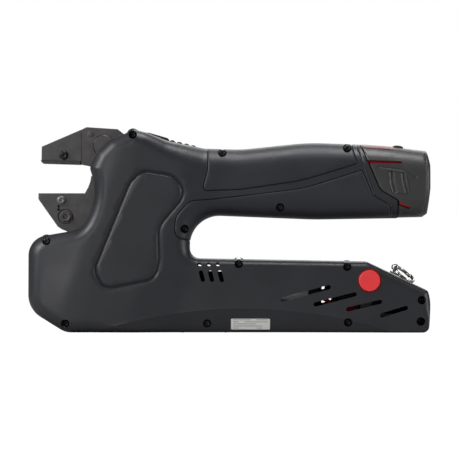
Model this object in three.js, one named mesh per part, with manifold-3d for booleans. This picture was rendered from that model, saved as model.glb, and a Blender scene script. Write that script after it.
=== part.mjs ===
// Battery electric pruner: a clamshell-housed 12 V hand tool with a moving upper jaw.
// Millimetres. X runs from the jaws (-X) to the battery (+X), Z is up, the left side of the tool is -Y.
// The origin is under the middle of the tool, on the flat underside of the lower arm.
import * as THREE from 'three';
import { mergeVertices } from 'three/addons/utils/BufferGeometryUtils.js';
import Module from 'manifold-3d';

const wasm = await Module();
wasm.setup();

// ---- driving dimensions ----
const gap = 0.3; // clearance kept between neighbouring pieces
const wall = 2.6; // housing wall
const edgeRound = 5; // rounding of the housing's long edges
const lobeHalf = 27; // half thickness of the front housing
const gripHalf = 24.5; // half thickness of the handle and the lower arm
const grip = { thickness: 1.2, bed: 1.5 }; // grip panels and the bed cut for them
const pivot = [-87.2, 129.9]; // jaw hinge
const jawHalf = 7; // half thickness of both jaws
const tongueHalf = 3.2; // half thickness of the fixed jaw's middle plate
const armInner = 3.6; // inner face of the two jaw arm plates
const armSwing = 17.6; // clear radius round the hinge inside the housing
const screwAxisZ = 27; // height of the lead screw and motor axis
const crossPinZ = 43; // height of the nut's cross pin
const halfStroke = 15; // degrees of jaw swing each side of the upright lever
const battery = { axisZ: 104, bore: 21.2, core: 20.6, cell: 9.2, cellRing: 10.62 };
const bearing = { front: 6, thrust: 9, bore: 3.3 };
const drive = { gearbox: 14.5, motor: 16, shaft: 3, screw: 4 };
const ridgeTilt = 20; // degrees that the side's soft ridge leans back
const scoopSlope = Math.tan(THREE.MathUtils.degToRad(21)); // slope of the scooped lower edge

const paint = {
  housing: new THREE.MeshStandardMaterial({ color: 0x35363a, roughness: 0.55, metalness: 0 }),
  grip: new THREE.MeshStandardMaterial({ color: 0x2e2f31, roughness: 0.7, metalness: 0 }),
  jaw: new THREE.MeshStandardMaterial({ color: 0x4a4a4a, roughness: 0.5, metalness: 0.8 }),
  steel: new THREE.MeshStandardMaterial({ color: 0x9a9a98, roughness: 0.35, metalness: 1 }),
  blackSteel: new THREE.MeshStandardMaterial({ color: 0x1d1d1f, roughness: 0.45, metalness: 0.9 }),
  nickel: new THREE.MeshStandardMaterial({ color: 0xc9c4b4, roughness: 0.2, metalness: 1 }),
  red: new THREE.MeshStandardMaterial({ color: 0xf8403f, roughness: 0.4, metalness: 0 }),
  darkRed: new THREE.MeshStandardMaterial({ color: 0x8b1a22, roughness: 0.45, metalness: 0 }),
  pack: new THREE.MeshStandardMaterial({ color: 0x3d3e3e, roughness: 0.5, metalness: 0 }),
  label: new THREE.MeshStandardMaterial({ color: 0xc2c3c4, roughness: 0.4, metalness: 0.6 }),
  board: new THREE.MeshStandardMaterial({ color: 0x1f3a2a, roughness: 0.5, metalness: 0 }),
  brass: new THREE.MeshStandardMaterial({ color: 0xb08d4a, roughness: 0.35, metalness: 1 }),
};

// ---- solids ----
function solidOf(geometry) {
  const bare = geometry.clone();
  bare.deleteAttribute('normal');
  bare.deleteAttribute('uv');
  const merged = mergeVertices(bare, 1e-4);
  return new wasm.Manifold(new wasm.Mesh({
    numProp: 3,
    vertProperties: merged.attributes.position.array,
    triVerts: new Uint32Array(merged.index.array),
  }));
}

function geometryOf(solid) {
  const mesh = solid.getMesh();
  const geometry = new THREE.BufferGeometry();
  geometry.setAttribute('position', new THREE.BufferAttribute(mesh.vertProperties, 3));
  geometry.setIndex(new THREE.BufferAttribute(mesh.triVerts, 1));
  return geometry;
}

// A closed outline from corners [x, z, radius]; each rounded corner becomes a tangent arc.
function outline(corners, arcStep = 24) {
  const points = [];
  corners.forEach(([x, z, radius = 0], i) => {
    const corner = new THREE.Vector2(x, z);
    if (radius === 0) {
      points.push(corner);
      return;
    }
    const before = corners[(i + corners.length - 1) % corners.length];
    const after = corners[(i + 1) % corners.length];
    const toBefore = new THREE.Vector2(before[0] - x, before[1] - z).normalize();
    const toAfter = new THREE.Vector2(after[0] - x, after[1] - z).normalize();
    const half = Math.acos(THREE.MathUtils.clamp(toBefore.dot(toAfter), -1, 1)) / 2;
    const turn = Math.PI - 2 * half;
    const middle = toBefore.clone().add(toAfter).normalize().multiplyScalar(radius / Math.sin(half));
    const centre = corner.clone().add(middle);
    const start = corner.clone().addScaledVector(toBefore, radius / Math.tan(half)).sub(centre);
    const side = -Math.sign(toBefore.cross(toAfter));
    const steps = Math.max(2, Math.round(THREE.MathUtils.radToDeg(turn) / arcStep));
    for (let k = 0; k <= steps; k += 1) {
      const spoke = start.clone().rotateAround(new THREE.Vector2(), (side * turn * k) / steps);
      points.push(centre.clone().add(spoke));
    }
  });
  return points;
}

// Every edge of an outline moved inwards by the same distance.
function inset(points, distance) {
  const turn = Math.sign(THREE.ShapeUtils.area(points));
  return points.map((point, i) => {
    const before = points[(i + points.length - 1) % points.length];
    const after = points[(i + 1) % points.length];
    const edgeIn = point.clone().sub(before).normalize();
    const edgeOut = after.clone().sub(point).normalize();
    const normal = new THREE.Vector2(-edgeIn.y - edgeOut.y, edgeIn.x + edgeOut.x).normalize();
    const spread = normal.dot(new THREE.Vector2(-edgeIn.y, edgeIn.x));
    return point.clone().addScaledVector(normal, (turn * distance) / spread);
  });
}

// An XZ outline made into a plate between two values of Y, with an optional rounded edge.
function plate(points, yLow, yHigh, round = 0) {
  const geometry = new THREE.ExtrudeGeometry(new THREE.Shape(points), {
    depth: yHigh - yLow - 2 * round,
    bevelEnabled: round > 0,
    bevelThickness: round,
    bevelSize: round,
    bevelOffset: -round,
    bevelSegments: 1,
    steps: 1,
  });
  geometry.rotateX(Math.PI / 2);
  geometry.translate(0, yHigh - round, 0);
  return solidOf(geometry);
}

// A round bar along X, Y or Z between two values.
function rod(axis, a, b, low, high, radius, sides = 16) {
  const geometry = new THREE.CylinderGeometry(radius, radius, high - low, sides);
  const middle = (low + high) / 2;
  if (axis === 'x') {
    geometry.rotateZ(-Math.PI / 2).translate(middle, a, b);
  } else if (axis === 'y') {
    geometry.translate(a, middle, b);
  } else {
    geometry.rotateX(Math.PI / 2).translate(a, b, middle);
  }
  return solidOf(geometry);
}

function block(x0, x1, y0, y1, z0, z1) {
  const geometry = new THREE.BoxGeometry(x1 - x0, y1 - y0, z1 - z0);
  geometry.translate((x0 + x1) / 2, (y0 + y1) / 2, (z0 + z1) / 2);
  return solidOf(geometry);
}

// A turned piece: profile [radius, distance along the axis], set on an axis point and direction.
function turned(profile, place, direction, sides = 16) {
  const points = profile.map(([radius, along]) => new THREE.Vector2(radius, along));
  const geometry = new THREE.LatheGeometry(points, sides);
  const turn = new THREE.Quaternion().setFromUnitVectors(new THREE.Vector3(0, 1, 0), direction);
  geometry.applyQuaternion(turn).translate(...place);
  return solidOf(geometry);
}

// A straight slot between the centres of its two round ends.
function slotOutline([x0, z0], [x1, z1], width) {
  const along = new THREE.Vector2(x1 - x0, z1 - z0).normalize().multiplyScalar(width / 2);
  const across = new THREE.Vector2(-along.y, along.x);
  const corner = (x, z, side, end) => [
    x + side * across.x + end * along.x,
    z + side * across.y + end * along.y,
    width * 0.49,
  ];
  const corners = [
    corner(x0, z0, -1, -1), corner(x1, z1, -1, 1),
    corner(x1, z1, 1, 1), corner(x0, z0, 1, -1),
  ];
  return outline(corners, 45);
}

function tube(path, radius, steps) {
  const section = new THREE.Shape(new THREE.EllipseCurve(0, 0, radius, radius).getPoints(8));
  const curve = new THREE.CatmullRomCurve3(path.map((point) => new THREE.Vector3(...point)));
  return solidOf(new THREE.ExtrudeGeometry(section, { steps, bevelEnabled: false, extrudePath: curve }));
}

const sum = (solids) => solids.reduce((whole, solid) => whole.add(solid));
const toLeft = new THREE.Vector3(0, -1, 0);
const toRight = new THREE.Vector3(0, 1, 0);

const model = new THREE.Group();
function node(name, solid, material) {
  const mesh = new THREE.Mesh(geometryOf(solid), material);
  mesh.name = name;
  model.add(mesh);
}

// ---- housing ----
const batterySeam = [[117, 79.3], [116.5, 91.4], [104.2, 98.6, 8], [99, 111], [90.6, 130.6]];

const bodyOutline = outline([
  [-73, 137.6], [-82, 134.6, 12], [-91.5, 125.5, 8], [-96.5, 114], [-90.4, 94, 40], [-102, 71.6, 14],
  [-139.7, 65.2, 14], [-139.6, 16, 18], [-113.5, 0, 14], [0, 0], [138.2, 0], [139.9, 22],
  [137.5, 29.2], [96, 48.9], [-27.4, 51.2, 7], [-28, 81.8, 21], [60, 78.3, 200],
  ...batterySeam, [55, 131.9, 150], [8, 127, 100], [-17, 127.8], [-42.5, 132.8], [-57, 138.6], [-66, 140.8],
]);

// The side view's outline given the plan of the tool: thin at the jaws, widest at the lobe.
function tapered(halfChange, round, points) {
  const halves = [
    [-60, 12], [-36, 17], [-16, 23], [0, 26], [22, lobeHalf], [48, lobeHalf],
    [76, gripHalf], [320, gripHalf],
  ];
  const side = halves.map(([u, half]) => [u, half + halfChange]);
  const plan = new THREE.Shape([...side, ...side.map(([u, half]) => [u, -half]).reverse()]
    .map(([u, y]) => new THREE.Vector2(u, y)));
  const prism = new THREE.ExtrudeGeometry(plan, { depth: 260, bevelEnabled: false });
  prism.translate(0, 0, -80).rotateY(THREE.MathUtils.degToRad(ridgeTilt)).translate(-118, 0, 15);
  const half = lobeHalf + halfChange;
  return plate(points, -half, half, round).intersect(solidOf(prism));
}

// The lower long edges are scooped out along a shallow arc.
function scoop(side) {
  const reach = lobeHalf + 4;
  const shape = new THREE.Shape();
  const arc = [];
  const steps = 8;
  for (let k = 0; k <= steps; k += 1) {
    const x = -93 + (205 * k) / steps;
    const rise = 16.8 * Math.sin((Math.PI * k) / steps) ** 0.8;
    arc.push(new THREE.Vector2(x, -gripHalf + rise * scoopSlope));
  }
  shape.setFromPoints([...arc, new THREE.Vector2(112, -reach), new THREE.Vector2(-93, -reach)]);
  const geometry = new THREE.ExtrudeGeometry(shape, { depth: 30, bevelEnabled: false });
  geometry.applyMatrix4(new THREE.Matrix4().set(1, 0, 0, 0, 0, 1, -scoopSlope, 0, 0, 0, 1, 0, 0, 0, 0, 1));
  geometry.translate(0, scoopSlope, -1);
  const cut = solidOf(geometry);
  return side < 0 ? cut : cut.mirror([0, 1, 0]);
}

const upperGripOutline = outline([
  [-15.7, 137], [-14.9, 114], [-18.3, 101, 3], [-17, 97.9, 2], [8, 98.6, 60], [50, 104.8, 120],
  [89.4, 116.8, 2], [85.4, 131], [84.6, 137],
]);
const lowerGripOutline = outline([
  [-24, 62.6], [-38.4, 65.6, 7], [-37.5, 80, 12], [-27.5, 91.6, 10], [-10, 93, 40], [50, 99.8, 120],
  [92.4, 113, 1.5], [99.6, 95.6, 5], [112.3, 88, 3], [113, 74], [-8, 74],
]);

const housingScrews = [
  [-66.6, 137.1], [-126.6, 63.4], [-113.3, 6.3], [-4.7, 124.6], [82, 127.7], [-30.7, 71.8], [35.4, 86.7],
  [6.7, 47.6], [81.8, 45.6], [-15.1, 6.3], [82.4, 7.1],
];
const rearScrews = [[133.4, 22.6], [132.7, 7.8]];
const screwSeat = { housing: -16, rear: -9 };
const screwRound = { shank: 1.5, head: 2.4, headHeight: 2.2, recess: 3, boss: 3.6, socket: 1.1 };
const screwReach = 12; // how far the shank goes past the split plane

const ventHoles = [[-20.5, 47], [-14.1, 47], [-7.8, 47]];
const ventSlots = [
  [[-19.4, 41.6], [-18.1, 36.6]], [[-13, 41.6], [-11.8, 36.6]], [[-6.4, 41.6], [-5, 36.4]],
];
const rearSlots = [
  [[37.2, 22.9], [69, 31.5]],
  [[60, 19.6], [86.9, 26.6]],
  [[82.5, 16.2], [104.4, 21.4]],
  [[105.9, 12.1], [122.3, 17.1]],
];
const slotWidth = 3;
const ventRadius = 1.6;
const redButton = { x: 97.2, z: 36, radius: 7.4 };

// Where the jaws and the lever leave the housing through its front edge.
const jawWindow = outline([
  [-66, 146], [-104, 146], [-124, 100], [-124, 57], [-108, 57], [-84, 84], [-78, 122], [-66, 128],
]);
const triggerWindow = outline([[-59.5, 142], [-59.5, 128], [-16.4, 118], [-16.4, 134]]);

function bearingRibs(side) {
  const ribs = [
    [-130.5, 8, bearing.front], [-43, 9, bearing.thrust], [-2, 6, drive.gearbox], [31, 6, drive.motor],
  ]; // each rib: where it starts, its lowest height and what it holds
  const thickness = 3;
  const top = 38;
  return sum(ribs.map(([x0, z0, held]) => {
    const x1 = x0 + thickness;
    const bore = held + gap;
    const y = side * (x0 < -100 ? 15 : 23);
    const rib = block(x0, x1, Math.min(0, y), Math.max(0, y), z0, top);
    return rib.subtract(rod('x', 0, screwAxisZ, x0 - 1, x1 + 1, bore));
  }));
}

const whole = tapered(0, edgeRound, bodyOutline);
const cavity = tapered(-wall, 3.5, inset(bodyOutline, wall));
const bed = tapered(-grip.bed, edgeRound - 1, inset(bodyOutline, grip.bed));
const gripUnderside = tapered(-grip.thickness, edgeRound - 1, inset(bodyOutline, grip.thickness));

function bodyShell(side) {
  const reach = side * (lobeHalf + 3);
  const split = side * (gap / 2);
  const half = block(-150, 150, Math.min(reach, split), Math.max(reach, split), -5, 150);
  const places = [...housingScrews, ...rearScrews];
  const bosses = sum(places.map(([x, z]) => rod('y', x, z, -30, 30, screwRound.boss, 8)));
  let shell = whole.subtract(cavity).add(bosses.intersect(whole)).add(bearingRibs(side).intersect(whole));
  const throughBoth = [
    ...places.map(([x, z]) => rod('y', x, z, -30, screwReach + 1, screwRound.shank + gap, 8)),
    ...ventHoles.map(([x, z]) => rod('y', x, z, -40, 40, ventRadius, 8)),
    ...[...ventSlots, ...rearSlots].map(([from, to]) => plate(slotOutline(from, to, slotWidth), -40, 40)),
    rod('x', 0, battery.axisZ, 46, 130, battery.bore, 24),
    plate(jawWindow, -jawHalf - 0.6, jawHalf + 0.6),
    rod('y', pivot[0], pivot[1], -jawHalf - 0.6, jawHalf + 0.6, armSwing, 24),
    plate(triggerWindow, -8.4, 8.4),
    scoop(side),
  ];
  const panels = [upperGripOutline, lowerGripOutline].map((points) => plate(points, -40, 40).subtract(bed));
  shell = shell.subtract(sum([...throughBoth, ...panels]));
  if (side < 0) {
    const recesses = [
      ...housingScrews.map(([x, z]) => rod('y', x, z, -40, screwSeat.housing, screwRound.recess, 10)),
      ...rearScrews.map(([x, z]) => rod('y', x, z, -40, screwSeat.rear, screwRound.recess, 10)),
      rod('y', redButton.x, redButton.z, -40, -10, redButton.radius + 1.3, 20),
    ];
    shell = shell.subtract(sum(recesses));
  }
  const parts = shell.intersect(half).decompose();
  return parts.reduce((largest, piece) => (piece.volume() > largest.volume() ? piece : largest));
}

function gripPanel(points, side) {
  const seat = screwSeat.housing + 2;
  const clear = screwRound.recess + 0.4;
  const screwsClear = sum(housingScrews.map(([x, z]) => rod('y', x, z, -40, seat, clear, 10)));
  const reach = side * (lobeHalf + 3);
  const panel = plate(inset(points, gap / 2), Math.min(reach, side * 0.3), Math.max(reach, side * 0.3));
  const skin = whole.intersect(panel).subtract(gripUnderside);
  const parts = (side < 0 ? skin.subtract(screwsClear) : skin).decompose();
  return parts.reduce((largest, piece) => (piece.volume() > largest.volume() ? piece : largest));
}

for (const [sideName, side] of [['left', -1], ['right', 1]]) {
  node(`${sideName}_body_shell`, bodyShell(side), paint.housing);
  node(`${sideName}_upper_grip`, gripPanel(upperGripOutline, side), paint.grip);
  node(`${sideName}_lower_grip`, gripPanel(lowerGripOutline, side), paint.grip);
}

// ---- screws ----
function screwSolid(x, y, z) {
  const { shank, head, headHeight, socket } = screwRound;
  const length = screwReach - y - 0.5;
  const profile = [
    [0, -length], [shank, -length], [shank, 0], [head, 0], [head, headHeight], [socket, headHeight],
    [socket, headHeight - 1.1], [0, headHeight - 1.1],
  ];
  return turned(profile, [x, y - 0.05, z], toLeft, 8);
}
housingScrews.forEach(([x, z], i) => {
  node(`housing_screw_${i + 1}`, screwSolid(x, screwSeat.housing, z), paint.blackSteel);
});
rearScrews.forEach(([x, z], i) => {
  node(`rear_screw_${i + 1}`, screwSolid(x, screwSeat.rear, z), paint.blackSteel);
});

// ---- fixed lower jaw ----
const jawScrew = { head: 3.2, height: 2, shank: 2 };
const anvilScrewAt = [-117, 91.9];
const tipScrewAt = [-115.2, 123.2];
const adjusterAt = [-113.9, 80.5];

function buttonScrew([x, z], y, length) {
  const { head, height, shank } = jawScrew;
  const profile = [
    [0, -length], [shank, -length], [shank, 0], [head, 0], [head, height * 0.35], [head * 0.6, height],
    [1.2, height], [1.2, height - 1.2], [0, height - 1.2],
  ];
  return turned(profile, [x, y, z], toLeft, 14);
}

const lowerJawOutline = outline([
  [-133, 92.3], [-119.6, 73.6], [-121, 60], [-116.8, 60], [-112, 72], [-99, 84], [-96.2, 96],
  [-96.3, 107.5], [-100.6, 96.7], [-100.6, 86.2], [-124.5, 86.2], [-132.6, 92.4],
]);
const tongueOutline = outline([
  [-112, 74], [-112, 56], [-86, 62], [-76, 84], [-76, 108], [-79, 119], [-86, 119], [-95.6, 112.8],
  [-93.6, 110.2], [-96, 108.4], [-97, 104.7], [-100.7, 96.2], [-100.7, 86],
]);
const middlePlate = plate(tongueOutline, -tongueHalf, tongueHalf)
  .add(rod('y', ...pivot, -tongueHalf, tongueHalf, 11.5, 24));
const pinHole = (radius) => rod('y', ...pivot, -20, 20, radius, 20);
const leverRoom = outline([[-100, 88], [-100, 60], [-70, 60], [-70, 125], [-95.6, 113.4], [-96.1, 100]]);
const leverClear = plate(leverRoom, armInner - 0.6, 20);
const lowerJaw = plate(lowerJawOutline, -jawHalf, jawHalf)
  .subtract(leverClear)
  .subtract(leverClear.mirror([0, 1, 0]))
  .add(middlePlate)
  .subtract(pinHole(4.3))
  .subtract(rod('y', ...adjusterAt, -20, 20, 2.8, 14))
  .subtract(rod('y', ...adjusterAt, -20, -jawHalf + 1.6, 5.6, 16));
node('lower_jaw', lowerJaw, paint.jaw);

const anvilOutline = outline([[-133, 92.7], [-132.9, 96.7], [-101, 96.7], [-101, 86.6], [-124.3, 86.6]]);
node('anvil_block', plate(anvilOutline, -jawHalf, jawHalf)
  .subtract(rod('y', ...anvilScrewAt, -20, 20, jawScrew.shank + gap, 12)), paint.jaw);
node('anvil_screw', buttonScrew(anvilScrewAt, -jawHalf - 0.1, 12), paint.blackSteel);

const washer = plate(outline([[-4.9, -4.9, 4.7], [4.9, -4.9, 4.7], [4.9, 4.9, 4.7], [-4.9, 4.9, 4.7]], 30)
  .map((point) => point.add(new THREE.Vector2(...adjusterAt))), -jawHalf + 0.5, -jawHalf + 1.3);
node('adjuster_washer', washer.subtract(rod('y', ...adjusterAt, -20, 20, 2.8, 14)), paint.steel);
node('adjuster_bolt', turned([
  [0, -12.5], [2.4, -12.5], [2.4, 0], [3.9, 0], [3.9, 1.6], [2.2, 2.2], [1.5, 2.2], [1.5, 0.8], [0, 0.8],
], [adjusterAt[0], -jawHalf + 0.2, adjusterAt[1]], toLeft, 12), paint.blackSteel);

// ---- moving upper jaw ----
const radialAt = (degrees, radius) => {
  const turn = THREE.MathUtils.degToRad(degrees);
  return [pivot[0] + radius * Math.sin(turn), pivot[1] - radius * Math.cos(turn)];
};
const pinRadius = pivot[1] - crossPinZ;
const slotStart = radialAt(-halfStroke, pinRadius - 2.2);
const slotEnd = radialAt(-halfStroke, pinRadius / Math.cos(THREE.MathUtils.degToRad(halfStroke)) + 8);
const forkTip = (across, radius) => {
  const [x, z] = radialAt(-halfStroke, radius);
  const turn = THREE.MathUtils.degToRad(halfStroke);
  return [x + across * Math.cos(turn), z - across * Math.sin(turn)];
};
const armOutline = outline([
  [-102.9, 141.1], [-102.9, 116.7], [-98.5, 115.9], [-92, 113.4, 6], [-84.5, 110, 8], [-86, 84, 14],
  forkTip(-8, pinRadius - 14), forkTip(-6.5, pinRadius + 4.6),
  forkTip(6.5, pinRadius + 4.6), forkTip(8, pinRadius - 14),
  [-72.5, 82, 12], [-70.8, 122, 12], [-72, 137, 2], [-77.7, 141.4], [-99.4, 142.8],
]);
const armPlates = plate(armOutline, -jawHalf + 0.2, jawHalf - 0.2);
const armSlot = plate(outline([
  [-100.4, 150], [-100.4, 123.6], [-104, 123.6], [-104, 100], [-125, 60], [-125, 20], [-50, 20], [-50, 150],
]), -armInner, armInner);
const frontTongue = plate(outline([
  [-120, 133.2], [-120, 124], [-111, 119.6], [-104, 124.2], [-99.8, 124.2], [-99.8, 139.5], [-104, 139.5],
]), -tongueHalf, tongueHalf);
const jawArm = armPlates.subtract(armSlot).add(frontTongue)
  .subtract(pinHole(4.3))
  .subtract(rod('y', ...pivot, -20, -4.6, 7.9, 24))
  .subtract(rod('y', ...pivot, 4.6, 20, 7.9, 24))
  .subtract(plate(slotOutline(slotStart, slotEnd, 7.4), -20, 20))
  .subtract(rod('y', ...tipScrewAt, -20, 20, jawScrew.shank + gap, 12));
node('upper_jaw_arm', jawArm, paint.jaw);

const tipOutline = outline([[-103.2, 141], [-103.2, 119.3], [-130.8, 119.9], [-130.6, 129.2]]);
const tongueRoomOutline = outline([
  [-120.3, 133.8], [-120.3, 118], [-100, 118], [-100, 139.8], [-104, 139.8],
]);
const tongueRoom = plate(tongueRoomOutline, -tongueHalf - gap, tongueHalf + gap);
node('jaw_tip', plate(tipOutline, -jawHalf, jawHalf).subtract(tongueRoom)
  .subtract(rod('y', ...tipScrewAt, -20, 20, jawScrew.shank + gap, 12)), paint.jaw);
node('jaw_tip_screw', buttonScrew(tipScrewAt, -jawHalf - 0.1, 12), paint.blackSteel);

// The hardened edge strip under the tip, bevelled to a narrow working edge.
const edge = { low: 116.8, high: 119, lowHalf: 1.2, highHalf: 5.6, start: -130.8, length: 27.4 };
const edgeStrip = new THREE.Shape([
  new THREE.Vector2(-edge.highHalf, edge.high), new THREE.Vector2(-edge.lowHalf, edge.low),
  new THREE.Vector2(edge.lowHalf, edge.low), new THREE.Vector2(edge.highHalf, edge.high),
]);
const edgeGeometry = new THREE.ExtrudeGeometry(edgeStrip, { depth: edge.length, bevelEnabled: false });
const alongX = new THREE.Matrix4().set(0, 0, 1, 0, 1, 0, 0, 0, 0, 1, 0, 0, 0, 0, 0, 1);
edgeGeometry.applyMatrix4(alongX).translate(edge.start, 0, 0);
node('jaw_edge', solidOf(edgeGeometry), paint.steel);

node('pivot_pin', turned([
  [0, -jawHalf + 2.6], [4, -jawHalf + 2.6], [4, jawHalf - 2.2], [7.4, jawHalf - 2.2], [7.4, jawHalf + 0.2],
  [6.6, jawHalf + 0.6], [0, jawHalf + 0.6],
], [pivot[0], 0, pivot[1]], toLeft, 24), paint.jaw);
const nutProfile = [[0, 0], [7.2, 0], [7.2, 2.2], [0, 2.2]];
node('pivot_nut', turned(nutProfile, [pivot[0], jawHalf - 2.1, pivot[1]], toRight, 12), paint.steel);

// ---- drive: motor, gearbox, lead screw and nut ----
const onAxis = (x0, x1, radius, sides = 20) => rod('x', 0, screwAxisZ, x0, x1, radius, sides);
const nutRest = pivot[0] - pinRadius * Math.tan(THREE.MathUtils.degToRad(halfStroke));
const shaftHole = onAxis(-140, -29.7, bearing.bore, 12);
node('front_bearing', onAxis(-132, -126.5, bearing.front, 16).subtract(shaftHole), paint.steel);
node('thrust_bearing', onAxis(-44.5, -38.5, bearing.thrust, 16).subtract(shaftHole), paint.steel);
const leadScrew = onAxis(-131.5, -30, drive.shaft, 12).add(onAxis(-126, -45, drive.screw, 14));
node('lead_screw', leadScrew, paint.steel);
node('shaft_coupling', onAxis(-37.5, -23, 7, 14).subtract(shaftHole), paint.steel);
const pinBar = rod('y', nutRest, crossPinZ, -6.4, 6.4, 3, 14);
node('drive_nut', onAxis(nutRest - 10, nutRest + 10, 8.4, 16)
  .add(block(nutRest - 4.5, nutRest + 4.5, -3, 3, screwAxisZ + 6, crossPinZ + 3.4))
  .add(pinBar)
  .subtract(onAxis(nutRest - 20, nutRest + 20, drive.screw + gap, 14)), paint.brass);
node('gearbox_case', onAxis(-22, 12, drive.gearbox, 24), paint.blackSteel);
node('motor_can', onAxis(12.4, 55, drive.motor, 24), paint.steel);
node('motor_end_cap', onAxis(55.3, 62, 15, 20), paint.blackSteel);

// ---- electronics ----
node('control_board', block(72, 127, -17, 17, 11.4, 13), paint.board);
node('board_capacitor', rod('x', 6, 18.4, 108, 124, 5, 14), paint.blackSteel);
node('switch_block', block(-50, -27, -7, 7, 107, 117), paint.blackSteel);
node('battery_receiver', block(46.8, 52, -13, 13, 93, 115)
  .add(rod('x', 0, battery.axisZ, 46.4, 49, 20.6, 20)), paint.blackSteel);
const motorWire = [[62.6, -9, 25], [70, -11, 21], [78, -12, 16], [85, -11, 15.6], [89, -11, 14.8]];
node('motor_wire', tube(motorWire, 1.4, 14), paint.red);
node('power_wire', tube([
  [45.8, 0, 100], [36, 4, 99], [0, 8, 103], [-22, 12, 98], [-37, 12, 84], [-38.5, 12, 70], [-35, 13, 54],
  [-24, 14, 43], [-10, 14, 40.5], [62, 14, 40.5], [71, 13, 30], [77, 12, 14.8],
], 1.5, 40), paint.red);

// ---- thumb trigger ----
const ridges = [-39.2, -34.2, -29.3, -24.6];
const ridgeTop = (x) => 133.4 - (x - ridges[0]) * 0.242;
const ridgeBump = (x) => {
  const top = ridgeTop(x);
  return [[x - 1.7, top - 0.9], [x, top + 0.9, 1], [x + 1.7, top - 1.7]];
};
const triggerOutline = outline([
  [-57.6, 138.4], [-56.3, 139.1, 1], [-42.6, 135.1], ...ridges.flatMap(ridgeBump),
  [-18.6, 128], [-17.6, 124.6], [-26, 126.2],
  [-30, 124.6], [-30, 122.2], [-37, 122.2], [-37, 128.2], [-44, 130.2], [-58, 134.6],
]);
node('thumb_trigger', plate(triggerOutline, -7.8, 7.8), paint.housing);

// ---- red button ----
const buttonRod = (low, high, radius) => rod('y', redButton.x, redButton.z, low, high, radius, 24);
node('button_bezel', buttonRod(-gripHalf - 0.2, -20, redButton.radius + 1)
  .subtract(buttonRod(-40, 0, redButton.radius + 0.2)), paint.darkRed);
node('red_button', buttonRod(-gripHalf - 0.6, -20.5, redButton.radius - 0.1), paint.red);
node('button_switch', block(93, 101.4, -17.8, -12, 31, 41), paint.blackSteel);

// ---- label plate on the scooped edge ----
const labelGeometry = new THREE.BoxGeometry(27, 0.5, 8);
labelGeometry.rotateX(Math.atan(scoopSlope));
labelGeometry.translate(14.9, -gripHalf + (16.8 - 5.8) * scoopSlope - 0.62, 5.8);
node('label_plate', solidOf(labelGeometry), paint.label);

// ---- lanyard post and split ring ----
// The post stands on the rear slope; the ring hangs from it and leans on the slope.
const post = { x: 116.2, z: 45, ball: 2.6, eye: 1.7 };
const postFoot = outline([[112.6, 41.4], [119.8, 38], [120.2, 39.2], [113, 42.6]]);
node('lanyard_post', plate(postFoot, -3.4, 3.4)
  .add(rod('z', post.x, 0, 40.2, 43.2, 1.6, 12))
  .add(solidOf(new THREE.SphereGeometry(post.ball, 14, 8).translate(post.x, 0, post.z)))
  .subtract(rod('y', post.x, post.z, -9, 9, post.eye, 12)), paint.nickel);
const ring = { radius: 8, wire: 0.8, lean: 39 };
const ringGeometry = new THREE.TorusGeometry(ring.radius, ring.wire, 8, 20);
ringGeometry.translate(0, -ring.radius, 0).rotateZ(Math.PI / 2);
ringGeometry.rotateY(THREE.MathUtils.degToRad(ring.lean)).translate(post.x, 0, post.z);
node('split_ring', solidOf(ringGeometry), paint.nickel);

// ---- battery: slides out of the handle towards +X ----
const packOutline = outline([
  [117.6, 79.9], [117.2, 91.8], [104.9, 99, 8], [99.7, 111.4], [91.4, 130.6], [110, 129.4],
  [137.6, 126], [139.6, 116, 12], [139.6, 100, 30], [137.6, 82.5], [134.5, 80.1],
]);
const packBore = (radius, x0, x1) => rod('x', 0, battery.axisZ, x0, x1, radius, 24);
const latch = { x0: 111.5, x1: 122.5, z0: 97.5, z1: 112, thickness: 2 };
const latchWindow = block(latch.x0 - gap, latch.x1 + gap, -30, 30, latch.z0 - gap, latch.z1 + gap);
node('battery_shell', plate(packOutline, -gripHalf, gripHalf, edgeRound)
  .subtract(packBore(battery.bore, 80, 134))
  .subtract(latchWindow), paint.pack);
const cellPlaces = [90, 210, 330].map((degrees) => {
  const turn = THREE.MathUtils.degToRad(degrees);
  return [battery.cellRing * Math.cos(turn), battery.axisZ + battery.cellRing * Math.sin(turn)];
});
const cellHoles = sum(cellPlaces.map(([y, z]) => rod('x', y, z, 58, 128, battery.cell + gap, 16)));
node('battery_core', packBore(battery.core, 60, 133.5).subtract(cellHoles), paint.darkRed);
cellPlaces.forEach(([y, z], i) => {
  node(`cell_${i + 1}`, rod('x', y, z, 60.5, 125.5, battery.cell, 14), paint.label);
});
node('battery_contacts', packBore(battery.core - 1, 56.5, 59.6)
  .add(block(53, 57, -9, -7, 98, 110))
  .add(block(53, 57, 7, 9, 98, 110)), paint.brass);
for (const [sideName, side] of [['left', -1], ['right', 1]]) {
  const low = side < 0 ? -gripHalf - 0.4 : gripHalf + 0.4 - latch.thickness;
  const pad = block(latch.x0, latch.x1, low, low + latch.thickness, latch.z0, latch.z1);
  node(`${sideName}_latch_pad`, pad, paint.pack);
}

export default model;
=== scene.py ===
# %% [markdown]
# # A battery pruner, piece by piece
# The tool is a one-hand battery pruner. A moulded black housing carries two short steel jaws at
# the front, a rounded handle with a slide-in battery at the top and a hollow arm along the foot.
# The solid model gives every piece its place and its motion. This lesson gives each piece that
# can be seen its real surface: rounded skins, turned screws, bevelled steel and fine finishes.
# We load the solid model first, because every piece made here rides on one of its bodies.

# %% Load the solid model
from math import acos, cos, pi, radians, sin, tan

import bmesh
import bpy
import numpy as np
from mathutils import Matrix, Vector
from mathutils.geometry import delaunay_2d_cdt


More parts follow.
